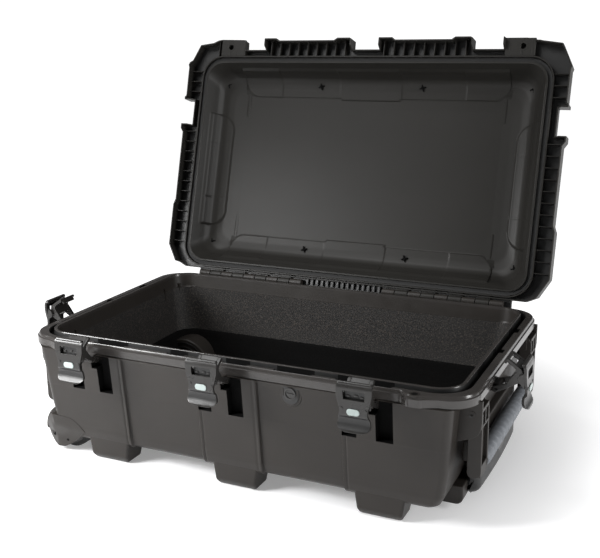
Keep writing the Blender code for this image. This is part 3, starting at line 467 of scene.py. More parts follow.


# ---- Base shell ------------------------------------------------------------------------
# Looks of the base's faces: the near-black one is painted shade in pockets, slots and the groove,
# and the rim one is a painted highlight.
SHELL_LOOK, WALL_LOOK, PAINTED_SHADE_LOOK, BLACK_LOOK, PAINTED_RIM_HIGHLIGHT_LOOK = range(5)
RECESS_DEPTH = 0.0150
POCKETS = [(s - 0.0545, s - 0.0300) for s in STATIONS]
POCKETS += [(s + 0.0025, s + 0.0300) for s in STATIONS]
POCKET_Z = (0.1380, 0.2075)
LUG_POCKET_START = 0.1830
SLOTS = ((-0.264, -0.201), (-0.115, -0.081), (-0.008, 0.036), (0.085, 0.150), (0.190, 0.212),
         (0.249, 0.282))
SIDE_SLOTS = ((0.206, 0.224), (0.322, 0.345))


def base_plan():
    """Columns of the base, with extra ones at the edges of every pocket and slot."""
    edges = [x for pocket in POCKETS for x in pocket] + [x for slot in SLOTS for x in slot]
    edges += [-x for x in edges]
    xs = samples(-0.336, 0.336, 0.0018, edges)
    side_edges = [y for slot in SIDE_SLOTS for y in slot]
    return Plan(xs, samples(0.067, 0.393, 0.0045, side_edges), 12)


def pilaster_profile():
    """(z, half_x, half_y, corner radius, rear trim) up the outside of the body."""
    knots = [(0.0330, 0.347, 0.2270, 0.012, 0.0), (0.0390, 0.356, 0.2345, 0.014, 0.0),
             (0.0540, 0.363, 0.2385, 0.013, 0.0), (0.1000, 0.3705, 0.2430, 0.013, 0.0),
             (0.2075, 0.3790, 0.2540, 0.015, 0.0105)]
    fine = np.concatenate([np.arange(0.0330, 0.0640, 0.0016), np.arange(0.0640, 0.1380, 0.0045),
                           [0.1376, 0.1384], np.arange(0.1420, 0.2050, 0.0040),
                           [0.2060, 0.2070, 0.2080]])
    knots = np.array(knots)
    rows = np.stack([np.interp(fine, knots[:, 0], knots[:, c]) for c in range(5)], 1)
    soften(rows[:, 1:], 3)
    return rows


def outer_depth(x, z, front):
    """How far the wall is set back from the pilaster surface, at x on the long sides."""
    depth = np.interp(z, (0.033, 0.042, 0.200, 0.208), (0.0062, 0.0048, 0.0042, 0.0030))
    line_depth, line_width, line_offset = 0.0015, 0.0010, 0.0058
    across = np.abs(x)
    result = depth * band(across, PILASTER, PANEL_END, 0.0022)
    for edge in (PILASTER - line_offset, PANEL_END + line_offset):
        result = result + line_depth * np.exp(-((across - edge) / line_width) ** 2)
    if front and LUG_POCKET_START < z < POCKET_Z[1]:
        for station in STATIONS:
            result = np.where((x > station - 0.0080) & (x < station + 0.0150),
                              RECESS_DEPTH, result)
    if front and POCKET_Z[0] < z < POCKET_Z[1]:
        for low, high in POCKETS:
            result = np.where((x > low) & (x < high), RECESS_DEPTH, result)
    return result


def build_base():
    """Outer wall, rim, inner wall and floor as one skin, with the look of every face."""
    plan = base_plan()
    is_front, is_rear = plan.kind == FRONT, plan.kind == REAR
    rows, painted_shade_rows = [], []
    for z, hx, hy, r, trim in pilaster_profile():
        xy, n = plan.ring(hx, hy - trim / 2, MID_Y - trim / 2, r)
        depth = np.zeros(plan.count)
        depth[is_front] = outer_depth(plan.value[is_front], z, True)
        depth[is_rear] = outer_depth(plan.value[is_rear], z, False)
        rows.append(at_height(xy - n * depth[:, None], z))
        # Painted shade: faces at the full recess depth, in the latch pockets and beside each latch
        # lug, are marked for the near-black look.
        painted_shade_rows.append(is_front & (depth > RECESS_DEPTH - 0.0001))
    outer_count = len(rows)
    rows += rim_rows(plan)
    wall_start = len(rows)
    inner = [(HALF_X - 0.0104, MID_Y - 0.0102, 0.040, 0.2020), (0.3660, 0.2170, 0.041, 0.140),
             (0.361, 0.2150, 0.042, 0.090), (0.350, 0.2080, 0.042, 0.050),
             (0.342, 0.1980, 0.034, FLOOR_TOP)]
    for hx, hy, r, z in inner:
        rows.append(at_height(plan.ring(hx, hy, MID_Y, r)[0], z))
    verts, faces = capped(rows)
    groove = outer_count + 6
    looks = np.full(len(faces), SHELL_LOOK)

    def paint(first, count, look):
        looks[first * plan.count:(first + count) * plan.count] = look

    in_slot = slot_columns(plan)
    in_slot = in_slot | np.roll(in_slot, -1)
    # Painted shade: the groove between flange and tongue is painted black, and its floor and the
    # slots along it near-black.
    for k in range(groove, groove + 5):
        paint(k, 1, np.where(in_slot, PAINTED_SHADE_LOOK, BLACK_LOOK))
    paint(groove + 2, 1, PAINTED_SHADE_LOOK)
    # Painted highlight: the flange's front face and rounded top edge, and the tongue's top, take
    # the lighter, glossier rim plastic.
    paint(outer_count + 1, groove - outer_count - 1, PAINTED_RIM_HIGHLIGHT_LOOK)
    paint(groove + 5, 5, PAINTED_RIM_HIGHLIGHT_LOOK)
    # Painted shade: marked pocket faces take the near-black look for the shade inside the pockets.
    for k in range(outer_count - 1):
        both = painted_shade_rows[k] | painted_shade_rows[k + 1]
        both = both | np.roll(both, -1)
        paint(k, 1, np.where(both, PAINTED_SHADE_LOOK, SHELL_LOOK))
    looks[wall_start * plan.count:] = WALL_LOOK
    looks[-2] = SHELL_LOOK
    return verts, faces, list(map(int, looks))


def tab_reach(plan):
    """How far the two padlock tabs stand out from the front of the flange."""
    reach = np.zeros(plan.count)
    for sign in (-1, 1):
        tab = np.exp(-np.abs((plan.value * sign - 0.3215) / 0.0175) ** 4)
        reach = np.where(plan.kind == FRONT, np.maximum(reach, 0.0125 * tab), reach)
    return reach


def slot_columns(plan):
    """Columns of the rim that lie in one of its slots, painted near-black for the shade in them.
    """
    slot = np.zeros(plan.count, bool)
    for low, high in SLOTS:
        slot |= (plan.kind == FRONT) & (plan.value > low) & (plan.value < high)
    for low, high in SIDE_SLOTS:
        slot |= np.isin(plan.kind, (RIGHT, LEFT)) & (plan.value > low) & (plan.value < high)
    return slot


def rim_rows(plan):
    """Flange, groove and sealing tongue, all round, from the outside to the inside."""
    rows = []
    reach, slot = tab_reach(plan)[:, None], slot_columns(plan)[:, None]
    end_reach, side_reach, forward, corner = 0.0255, 0.01525, 0.00525, 0.052
    for inset, z in ((0.0012, FLANGE_UNDER), (0.0, FLANGE_UNDER + 0.0012),
                     (0.0, FLANGE_TOP - 0.0060), (0.0022, FLANGE_TOP - 0.0048),
                     (0.0030, FLANGE_TOP - 0.0012), (0.0042, FLANGE_TOP)):
        xy, n = plan.ring(HALF_X + end_reach - inset, MID_Y + side_reach - inset,
                          MID_Y - forward, corner - inset)
        rows.append(at_height(xy + n * reach, z))
    for grown, in_slot, z in ((0.0100, 0.0158, FLANGE_TOP), (0.0086, 0.0156, FLANGE_TOP - 0.0014),
                              (0.0083, 0.0154, FLANGE_TOP - 0.0085)):
        xy, n = grown_ring(plan, grown, MID_Y)
        rows.append(at_height(np.where(slot, xy + n * (in_slot - grown), xy), z))
    for grown, z in ((0.0012, FLANGE_TOP - 0.0085), (0.0004, FLANGE_TOP - 0.0050),
                     (0.0, TONGUE_TOP - 0.0012), (-0.0010, TONGUE_TOP), (-0.0046, TONGUE_TOP),
                     (-0.0058, TONGUE_TOP - 0.0008), (-0.0062, TONGUE_TOP - 0.0030),
                     (-0.0066, FLANGE_TOP - 0.0010), (-0.0095, 0.2060), (-0.0100, 0.2040)):
        rows.append(at_height(grown_ring(plan, grown, MID_Y)[0], z))
    return rows


def foot_bm(x, mirror):
    """Foot under a pilaster: a profile in y and z that widens upwards."""
    half, flare = 0.0365, 4.2
    profile = [(0.0030, 0.0), (0.0420, 0.0), (0.0480, 0.0370), (-0.0050, 0.0480),
               (-0.0052, 0.0100)]
    if mirror:
        profile = [(RING_WIDTH - y, z) for y, z in profile]
    bm = prism(profile, "X", x - half, x + half, 0.0042, 4, 20)
    for vert in bm.verts:
        vert.co.x = x + (vert.co.x - x) * (1 + flare * vert.co.z)
    return bm


def latch_lugs(build):
    """Lug that carries the pivot of each latch."""
    for edge, turn in latch_edges():
        place = Matrix.Translation((edge[0], edge[1], 0)) @ Matrix.Rotation(turn, 4, "Z")
        lug = [(0.004, 0.1965)] + arc((-LATCH_PIVOT[0], LATCH_PIVOT[1]), 0.0065, -90, -270, 12)
        lug += [(0.004, 0.2095)]
        build.bm(prism(lug, "X", -0.0142, 0.0142, 0.0008), 0, place)


def padlock_eyes(build):
    """Raised ring on each padlock tab, with a near-black disc in it as painted shade for the hole.
    """
    y, outer, inner = -0.0235, 0.0082, 0.0052
    for x in (-PADLOCK_X, PADLOCK_X):
        low, top = ((x, y, FLANGE_TOP + rise) for rise in (-0.004, 0.0002))
        build.bm(ring_rod(outer, inner, low, top))
        # Painted shade: a solid near-black disc stands for the hole.
        low, top = ((x, y, FLANGE_TOP + rise) for rise in (-0.005, 0.0001))
        build.bm(rod(inner, low, top, 24, 0), PAINTED_SHADE_LOOK)


def handle_brackets(build):
    """Plates beside the handle arms, each with a boss, and blocks inside the arms."""
    for sign in (-1, 1):
        plate = [(0.3640, 0.2120), (0.4118, 0.2120), (0.4118, 0.1760), (0.4105, 0.1650),
                 (0.4060, 0.1560), (0.3990, 0.1505), (0.3890, 0.1465), (0.3640, 0.1380)]
        plate = [(sign * x, z) for x, z in plate]
        for y, face, out in zip(both_sides(BRACKET_Y), (BRACKET_Y[0], RING_WIDTH - BRACKET_Y[0]),
                                (-0.0010, 0.0010)):
            build.bm(prism(plate, "Y", *y, 0.0012, 3))
            x = sign * 0.397
            build.bm(ring_rod(0.0042, 0.0022, (x, face, 0.190), (x, face + out, 0.190), 24))
        for y in both_sides((0.0735, 0.0785)):
            x = sorted((sign * 0.3700, sign * 0.4030))
            build.bm(block(x, y, (0.1760, 0.2100)))


def wheel_arches(build):
    """Arch over each wheel, and the dome beside it with its three raised lines."""
    line_width, line_rise = 0.0022, 0.00192
    centre = (-0.3370, WHEEL_Z)
    for y, inner in zip(both_sides((0.0080, 0.0655)), (0.0655, RING_WIDTH - 0.0655)):
        arch = arc((WHEEL_X, WHEEL_Z), 0.0490, -5, 185, 30)
        build.bm(prism(arch, "Y", *y, 0.0035, 3, 60))
        dome = [(max(x, -0.3720), z) for x, z in arc(centre, 0.0600, 0, 180, 36)]
        build.bm(prism(dome, "Y", *y, 0.0040, 4, 60))
        for radius in (0.0530, 0.0430, 0.0330):
            outline = arc(centre, radius, 2, 178, 28)
            outline += arc(centre, radius - line_width, 178, 2, 28)
            outline = [(max(x, -0.3700), z) for x, z in outline]
            build.bm(prism(outline, "Y", inner - line_rise, inner + line_rise, 0.0005, 1),
                     BLACK_LOOK)


def underside(build):
    """Ledge behind each grip, sill under the right end and channels round the tubes."""
    for sign in (-1, 1):
        ledge = sorted((sign * 0.3700, sign * 0.3848))
        build.bm(block(ledge, (0.0745, RING_WIDTH - 0.0745), (0.086, 0.122), 0.003, 3))
    sill = [(0.3400, 0.0350), (0.3400, 0.0110)] + arc((0.3630, 0.0230), 0.0120, -90, 0, 8)
    sill += [(0.3750, 0.0440), (0.3560, 0.0440)]
    build.bm(prism(sill, "Y", 0.0700, RING_WIDTH - 0.0700, 0.0025, 3, 60))
    for y in (TUBE_Y, RING_WIDTH - TUBE_Y):
        build.bm(block((-0.250, 0.366), (y - 0.0165, y + 0.0165), (0.040, 0.079), 0.003, 3))


def base_details(build):
    """Everything moulded on the base, added to its skin."""
    for station in STATIONS:
        for mirror in (False, True):
            build.bm(foot_bm(station + 0.004, mirror))
    latch_lugs(build)
    padlock_eyes(build)
    handle_brackets(build)
    wheel_arches(build)
    underside(build)
    hinge_knuckles(build, 0, (RING_WIDTH, HINGE_Y), (0.2085, 0.2225), HINGE_Y, HINGE_Z)


def hinge_knuckles(build, first, y_range, z_range, y, z):
    """Every second knuckle on both halves of the hinge, counted outwards from first."""
    for i in range(first, KNUCKLE_COUNT, 2):
        low = KNUCKLE_START + i * KNUCKLE_PITCH + KNUCKLE_GAP
        high = KNUCKLE_START + (i + 1) * KNUCKLE_PITCH - KNUCKLE_GAP
        for a, b in ((low, high), (-high, -low)):
            build.bm(block((a, b), y_range, z_range, 0.0010))
            build.bm(rod(KNUCKLE_RADIUS, (a, y, z), (b, y, z), 24, 0.0010))


def latch_edges():
    """Middle of each latch on the ring edge, and its turn."""
    edges = [((s + LATCH_OFFSET, 0.0), 0.0) for s in STATIONS]
    return edges + [((sign * HALF_X, SIDE_LATCH_Y), sign * math.pi / 2) for sign in (-1, 1)]


def make_base():
    """The whole base as one piece, riding on the base body."""
    build = Build()
    verts, faces, looks = build_base()
    build.add(verts, faces)
    build.mats = looks
    base_details(build)
    shell = build.object("base_body", [SHELL, WALL, PAINTED_SHADE, BLACK, PAINTED_RIM_HIGHLIGHT], "base", "shell_plastic")
    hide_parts("base_shell")


# ---- Lid -------------------------------------------------------------------------------
LID_PANEL_EDGE = 0.4035
LID_BLACK, LID_DARK = 1, 2


def box_distance(x, y, cx, cy, hx, hy, r):
    """Signed distance to a rounded box, negative inside."""
    qx, qy = np.abs(x - cx) - (hx - r), np.abs(y - cy) - (hy - r)
    return np.minimum(np.maximum(qx, qy), 0) + np.hypot(np.maximum(qx, 0), np.maximum(qy, 0)) - r


def lid_relief(x, s):
    """Raised panels on the inside of the lid, towards the viewer, in metres."""
    rise, edge = 0.0022, 0.0022
    mirrored = np.abs(s - LID_CENTRE)
    reach = LID_PANEL_EDGE - LID_CENTRE
    panel = box_distance(x, mirrored, 0, reach + 0.06, 0.298, 0.06, 0.034)
    middle = box_distance(x, mirrored, 0, reach + 0.056, 0.068, 0.06, 0.004)
    height = rise * ease(-np.minimum(panel, middle) / edge)
    between = band(np.abs(x), 0.0680, 0.2080, 0.0015) * ease(-panel / 0.0015)
    height = height - 0.0007 * between
    side = box_distance(np.abs(x), s, 0.318 + 0.05, 0.2345, 0.05, 0.1255, 0.036)
    side_height = rise * ease(-side / edge)
    for line in (0.297, 0.172):
        side_height -= 0.0006 * np.exp(-((s - line) / 0.0012) ** 2) * ease(-side / 0.001)
    return np.maximum(height, side_height)


def lid_inner_rows(plan):
    """Inside of the lid, from the flange to the middle, with its raised panels."""
    knots = [(0.3715, 0.2190, 0.037, 0.0005), (0.3670, 0.2145, 0.036, -0.008),
             (0.3610, 0.2085, 0.036, -0.020), (0.3560, 0.2035, 0.036, -0.031),
             (0.3480, 0.1955, 0.036, -0.042), (0.3380, 0.1855, 0.036, -0.0485),
             (0.3240, 0.1715, 0.034, -0.0518), (0.3050, 0.1525, 0.030, -0.0530),
             (0.2850, 0.1325, 0.026, -0.0535)]
    rows = []
    for hx, hy, r, z in smooth_wall(knots, 0.0016, 6):
        xy, n = plan.ring(hx, hy, LID_CENTRE, r)
        rise = lid_relief(xy[:, 0], xy[:, 1])
        steep = ease((-z - 0.012) / 0.012)
        wall = 1 - ease((-z - 0.030) / 0.020)
        xy = xy - n * (rise * steep * wall)[:, None]
        rows.append(np.column_stack([xy, z + LID_MATE + rise * steep]))
    return rows


def lid_back_rows(plan):
    """Outside of the lid, from the middle of its top to the flange."""
    knots = [(0.335, 0.1850, 0.040, LID_MATE - 0.0596), (0.342, 0.1920, 0.042, LID_MATE - 0.0586),
             (0.350, 0.2000, 0.045, LID_MATE - 0.0547), (0.360, 0.2090, 0.048, LID_MATE - 0.040),
             (0.378, 0.2280, 0.048, LID_MATE - 0.0165)]
    rows = []
    for hx, hy, r, z in smooth_wall(knots, 0.0035, 3):
        xy, n = plan.ring(hx, hy, LID_CENTRE, r)
        rib = 0.0022 * band(np.abs(plan.value), 0.060, 0.215, 0.003)
        rib = rib * np.isin(plan.kind, (FRONT, REAR))
        rib = rib * ease((z + 0.0590) / 0.006) * ease((-0.024 - z) / 0.006)
        rows.append(at_height(xy - n * rib[:, None], z))
    return rows


def lid_groove_rows(plan):
    """Mating edge of the lid with its two lips and the groove between them."""
    rows = []
    for grown, z in ((0.0048, -0.0165), (0.0048, 0.0), (0.0042, 0.0008), (0.0022, 0.0008),
                     (0.0016, 0.0), (0.0015, -0.0078), (-0.0070, -0.0078), (-0.0070, -0.0004),
                     (-0.0076, 0.0), (-0.0104, 0.0)):
        rows.append(at_height(grown_ring(plan, grown, LID_CENTRE)[0], LID_MATE + z))
    return rows


def side_points(sign):
    """Right edge of the flange outline from the top corner down, mirrored for the left."""
    notch = (0.3830, 0.3285)
    points = [(0.397, 0.507), (0.4195, 0.461), (0.4175, 0.455), (0.4170, 0.392),
              (0.4205, 0.389), (0.4205, notch[0]), (0.4005, notch[0]), (0.4005, notch[1]),
              (0.4225, notch[1]), (0.4225, 0.318), (0.4165, 0.309), (0.4160, 0.158),
              (0.4205, 0.146), (0.4205, 0.056), (0.4000, 0.0200), (0.3780, 0.0098)]
    return [(sign * x, s) for x, s in points]


def flange_outline():
    """Outline of the lid's flange, from its top left corner along the latch notches."""
    top = [(-0.365, 0.5115), (-0.346, 0.5200), (-0.291, 0.519), (-0.2865, 0.516),
           (-0.2855, 0.497), (-0.2350, 0.497), (-0.2350, 0.519), (-0.2330, 0.519),
           (-0.207, 0.519), (-0.200, 0.514), (-0.072, 0.514), (-0.065, 0.519), (-0.037, 0.519),
           (-0.0335, 0.517), (-0.0330, 0.497), (0.0270, 0.497), (0.0270, 0.519), (0.0290, 0.519),
           (0.056, 0.519), (0.063, 0.514), (0.181, 0.514), (0.188, 0.519), (0.219, 0.519),
           (0.2230, 0.517), (0.2235, 0.497), (0.2845, 0.497), (0.2845, 0.519), (0.2865, 0.519),
           (0.328, 0.519), (0.345, 0.515), (0.360, 0.512)]
    return top + side_points(1) + side_points(-1)[::-1]


def dense(outline, step):
    """Add points along the long edges of a closed outline."""
    points = []
    for (ax, ay), (bx, by) in zip(outline, outline[1:] + outline[:1]):
        count = max(1, int(math.hypot(bx - ax, by - ay) / step))
        points += [(ax + (bx - ax) * i / count, ay + (by - ay) * i / count) for i in range(count)]
    return points


def ring_point(x, s, grown):
    """Nearest point to (x, s) on the sealing ring, moved outwards by grown."""
    r = RING_RADIUS + grown
    core_x, core_s = HALF_X + grown - r, MID_Y + grown - r
    cx = min(max(x, -core_x), core_x)
    cs = min(max(s - LID_CENTRE, -core_s), core_s)
    dx, ds = x - cx, s - LID_CENTRE - cs
    length = math.hypot(dx, ds) or 1.0
    return (cx + dx / length * r, LID_CENTRE + cs + ds / length * r)


def inward(points, distance):
    """Offset a closed clockwise outline inwards."""
    count = len(points)
    result = []
    for i in range(count):
        before, here, after = points[i - 1], points[i], points[(i + 1) % count]
        ta = Vector((here[0] - before[0], here[1] - before[1])).normalized()
        tb = Vector((after[0] - here[0], after[1] - here[1])).normalized()
        na, nb = Vector((ta.y, -ta.x)), Vector((tb.y, -tb.x))
        mean = na + nb
        mean = mean.normalized() if mean.length > 1e-6 else na
        scale = distance / max(0.5, mean.dot(na))
        result.append((here[0] + mean.x * scale, here[1] + mean.y * scale))
    return result


def skirt_height(x, s):
    """Top of the flange's outer wall above the mating face."""
    if s < 0.062 and abs(x) < 0.395:
        return -0.0010
    if s > 0.470 and 0.2850 < abs(x) < 0.350:
        return -0.0010
    if s > 0.470 and abs(x) >= 0.350:
        return 0.004
    if abs(s - 0.497) < 0.0006 or (abs(abs(x) - 0.4005) < 0.0006 and 0.327 < s < 0.384):
        return -0.0006
    return 0.0112


def flange_band(outer, inner, low, high):
    """Wall between two matched outlines; high and low are lists of heights."""
    rows = [[(x, s, z) for (x, s), z in zip(outer, low)],
            [(x, s, z - 0.0006) for (x, s), z in zip(outer, high)],
            [(x * 0.9988, (s - LID_CENTRE) * 0.9978 + LID_CENTRE, z)
             for (x, s), z in zip(outer, high)],
            [(x, s, z) for (x, s), z in zip(inner, high)],
            [(x, s, z) for (x, s), z in zip(inner, low)]]
    return skin([np.array(row) for row in rows], True)


def lid_flange(build):
    """Outer wall of the flange and the sheet that joins it to the ring."""
    outer = dense(flange_outline(), 0.006)
    inner = inward(outer, 0.0026)
    low = [LID_MATE - 0.0180] * len(outer)
    high = [LID_MATE + skirt_height(x, s) for x, s in outer]
    build.add(*flange_band(outer, inner, low, high))
    ring = [ring_point(*point, 0.0040) for point in outer]
    level = LID_MATE - 0.0165
    under = level - 0.0015
    rows = [[(x, s, z) for x, s in points]
            for points, z in ((inner, level), (ring, level), (ring, under), (inner, under))]
    build.add(*skin([np.array(row) for row in rows], True), LID_BLACK)


def flange_depth_at(along, vertical, sign):
    """Outline position beyond the ring, at a place along one side."""
    outline = flange_outline()
    best = None
    for (ax, ay), (bx, by) in zip(outline, outline[1:] + outline[:1]):
        a, b = (ay, by) if vertical else (ax, bx)
        if (a - along) * (b - along) > 0 or a == b:
            continue
        t = (along - a) / (b - a)
        value = (ax + (bx - ax) * t) if vertical else (ay + (by - ay) * t)
        if vertical and value * sign < 0.37:
            continue
        if not vertical and value < 0.47:
            continue
        farther = max if sign > 0 or not vertical else min
        best = value if best is None else farther(best, value)
    return best


def lid_ribs(build):
    """Thin ribs that divide the flange into open cells."""
    half, gap = 0.0008, 0.0020
    floor, top = LID_MATE - 0.0172, LID_MATE - 0.0004
    ring_reach = 0.0044
    ring_s = LID_CENTRE + MID_Y + ring_reach
    for x in np.arange(-0.372, 0.374, 0.0215):
        s1 = flange_depth_at(x, False, 1)
        if s1 is None or s1 < 0.505 or abs(x) > 0.352:
            continue
        build.bm(block((x - half, x + half), (ring_s, s1 - gap), (floor, top), 0.0003, 1))
    for sign in (-1, 1):
        for s in np.arange(0.066, 0.455, 0.0225):
            x1 = flange_depth_at(s, True, sign)
            if x1 is None or abs(x1) < 0.41:
                continue
            x = sorted((sign * (HALF_X + ring_reach), x1 - sign * gap))
            build.bm(block(x, (s - half, s + half), (floor, top), 0.0003, 1))
    for low, high in ((-0.345, -0.2865), (0.2865, 0.345)):
        x, s = math.copysign(PADLOCK_X, low), 0.5025
        for side, start in ((low, 90), (high, -90)):
            half_plate = arc((x, s), 0.0058, start, start + 180, 12)
            near, far = (ring_s, 0.5185) if start > 0 else (0.5185, ring_s)
            half_plate += [(x, near), (side, near), (side, far), (x, far)]
            build.bm(prism(half_plate, "Z", LID_MATE - 0.0060, LID_MATE - 0.0006, 0.0005, 1))
        build.bm(ring_rod(0.0092, 0.0058, (x, s, LID_MATE - 0.0100), (x, s, LID_MATE - 0.0002)))


def boss(build, x, s, depth):
    """Small cross-shaped screw boss on the inside of the lid."""
    level = LID_MATE - depth
    build.bm(rod(0.0030, (x, s, level - 0.004), (x, s, level + 0.0036), 16, 0.0005), LID_DARK)
    for turn in (0.3, 1.87):
        place = Matrix.Translation((x, s, level)) @ Matrix.Rotation(turn, 4, "Z")
        build.bm(block((-0.0070, 0.0070), (-0.0010, 0.0010), (-0.003, 0.0026), 0.0004),
                 LID_DARK, place)


def make_lid():
    """The whole lid as one piece, built in lid coordinates."""
    edges = (-0.298, -0.208, -0.068, 0.068, 0.208, 0.298)
    plan = Plan(samples(-0.300, 0.300, 0.0022, edges), np.linspace(0.078, 0.420, 150), 14)
    rows = lid_back_rows(plan) + lid_groove_rows(plan) + lid_inner_rows(plan)
    build = Build()
    build.add(*capped(rows))
    lid_flange(build)
    lid_ribs(build)
    for x in (-0.341, -0.114, 0.114, 0.341):
        for s in (0.428, 0.073):
            boss(build, x, s, 0.0455 if abs(x) > 0.3 else 0.0475)
    hinge_knuckles(build, 1, (0.0, 0.014), (-0.0160, -0.0030), 0, 0)
    build.bm(block((-0.345, 0.350), (-0.0065, 0.0120), (LID_MATE - 0.0190, LID_MATE - 0.0100),
                   0.0012), LID_BLACK)
    for x in np.arange(-0.082, 0.084, 0.0115):
        build.bm(block((x, x + 0.0045), (-0.0020, 0.0100),
                       (LID_MATE - 0.0185, LID_MATE - 0.0050), 0.0008), LID_BLACK)
    lid = build.object("lid_body", [SMOOTH, BLACK, PAINTED_SHADE], "lid", "shell_plastic", LID_FRAME, 32)
    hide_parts("lid_shell")


# ---- Latches ---------------------------------------------------------------------------
LATCH_NAMES = ("front_left", "front_mid", "front_right", "side_left", "side_right")
WINDOW, WINDOW_HALF = (-0.0010, 0.0130), 0.62


def lever_half_width(w):
    """Half the width of the lever plate at the height w above its pivot."""
    return np.interp(w, (-0.0510, -0.0490, -0.0460, -0.0420, -0.0300, -0.0210, -0.0140, -0.0040,
                         0.0060, 0.0200, 0.0230, 0.0250),
                     (0.0130, 0.0200, 0.0250, 0.0272, 0.0246, 0.0222, 0.0228, 0.0262,
                      0.0285, 0.0285, 0.0278, 0.0255))


def lever_out(w):
    """Middle of the plate, outward from the lever pivot: a scoop for the thumb at the foot."""
    return np.interp(w, (-0.0510, -0.0480, -0.0440, -0.0390, -0.0330, -0.0290, -0.0272, -0.0255,
                         0.0170, 0.0220, 0.0250),
                     (0.0118, 0.0112, 0.0082, 0.0062, 0.0058, 0.0064, 0.0086, 0.0096,
                      0.0078, 0.0062, 0.0030))


def lever_sheet():
    """Lever plate with its window: rows of quads, thickened to a closed body."""
    ws = samples(-0.0510, 0.0245, 0.0018, (*WINDOW, -0.0263), 0.0003)
    us = samples(-1.0, 1.0, 0.066, (-WINDOW_HALF, WINDOW_HALF), 0.01)
    front, back = [], []
    for w in ws:
        half, out = lever_half_width(w), lever_out(w)
        for u in us:
            bow = 0.0004 * (1 - u * u) * float(ease((-0.040 - w) / 0.006))
            front.append((u * half, -(out + 0.0021 + bow), w))
            back.append((u * half, -(out - 0.0021 + bow * 0.7), w))
    rows, cols = len(ws), len(us)
    keep = np.ones((rows - 1, cols - 1), bool)
    for i in range(rows - 1):
        for j in range(cols - 1):
            w, u = (ws[i] + ws[i + 1]) / 2, abs((us[j] + us[j + 1]) / 2)
            corner = abs(abs(w - 0.006) - 0.0070) < 0.0012 and abs(u - WINDOW_HALF) < 0.05
            if WINDOW[0] < w < WINDOW[1] and u < WINDOW_HALF and not corner:
                keep[i, j] = False
    verts = front + back
    shift = rows * cols
    faces = []
    for i in range(rows - 1):
        for j in range(cols - 1):
            if not keep[i, j]:
                continue
            a = i * cols + j
            b, c, d = a + 1, a + cols + 1, a + cols
            faces.append((a, b, c, d))
            faces.append((shift + d, shift + c, shift + b, shift + a))
            for di, dj, p, q in ((-1, 0, a, b), (0, 1, b, c), (1, 0, c, d), (0, -1, d, a)):
                ii, jj = i + di, j + dj
                if not (0 <= ii < rows - 1 and 0 <= jj < cols - 1) or not keep[ii, jj]:
                    faces.append((q, p, shift + p, shift + q))
    bm = bmesh.new()
    made = [bm.verts.new(v) for v in verts]
    for f in faces:
        bm.faces.new([made[k] for k in f])
    bmesh.ops.delete(bm, geom=[v for v in bm.verts if not v.link_faces], context="VERTS")
    return bevelled(bm, 0.0009, 2, 50)


def latch_place(edge, turn):
    """Frame of a latch: the middle of its ring edge, with -y outwards and z up."""
    return (TO_WORLD @ Matrix.Translation((edge[0], edge[1], 0))
            @ Matrix.Rotation(turn, 4, "Z"))


def make_lever(name, edge, turn):
    """Latch lever with its thumb scoop and window, and the oval lock button on it."""
    place = latch_place(edge, turn) @ Matrix.Translation((0, -LEVER_PIVOT[0], LEVER_PIVOT[1]))
    build = Build()
    build.bm(lever_sheet())
    # Painted shade: faces in the thumb scoop take the darker black plastic.
    for i, face in enumerate(build.faces):
        middle = sum((build.verts[v] for v in face), Vector()) / len(face)
        if -0.0470 < middle.z < -0.0268 and abs(middle.x) < 0.93 * lever_half_width(middle.z):
            build.mats[i] = 1
    ear = [(-0.0070, 0.0110), (0.0020, 0.0052), (0.0048, 0.0), (0.0020, -0.0052),
           (-0.0070, -0.0150)]
    for x in ((-0.0258, -0.0210), (0.0210, 0.0258)):
        build.bm(prism(ear, "X", *x, 0.0006))
    rim = rounded(0.0122, 0.0072, 0.0068, (0, -0.0190), 6)
    build.bm(prism(rim, "Y", -0.0112, -0.0085, 0.0006), 1)
    build.bm(rod(0.0034, (-0.0262, -0.0052, 0.0225), (0.0262, -0.0052, 0.0225), 20, 0.0012))
    for x, z in ((-0.0105, 0.0030), (0.0020, 0.0045), (0.0110, 0.0028)):
        build.bm(block((x - 0.0030, x + 0.0030), (-0.0062, -0.0020), (z - 0.0016, z + 0.0016),
                       0.0006))
    build.bm(block((-0.0160, 0.0160), (-0.0046, -0.0020), (-0.0030, 0.0150), 0.0006), 1)
    for x in (-0.0190, 0.0190):
        build.bm(rod(0.0024, (x, -0.0098, -0.0150), (x, -0.0122, -0.0150), 14, 0.0004))
    lever = build.object(f"{name}_lever_plate", [LATCH, BLACK], f"{name}_lever_body",
                         "latch_plastic", place, 35)
    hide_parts(f"{name}_lever")
    oval = Build()
    outline = rounded(0.0102, 0.0050, 0.0048, (0, -0.0190), 8)
    oval.bm(prism(outline, "Y", -0.0130, -0.0113, 0.0012, 3))
    button = oval.object(f"{name}_lock_oval", [BUTTON], f"{name}_button_body", "button_plastic",
                         place)
    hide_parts(f"{name}_button")


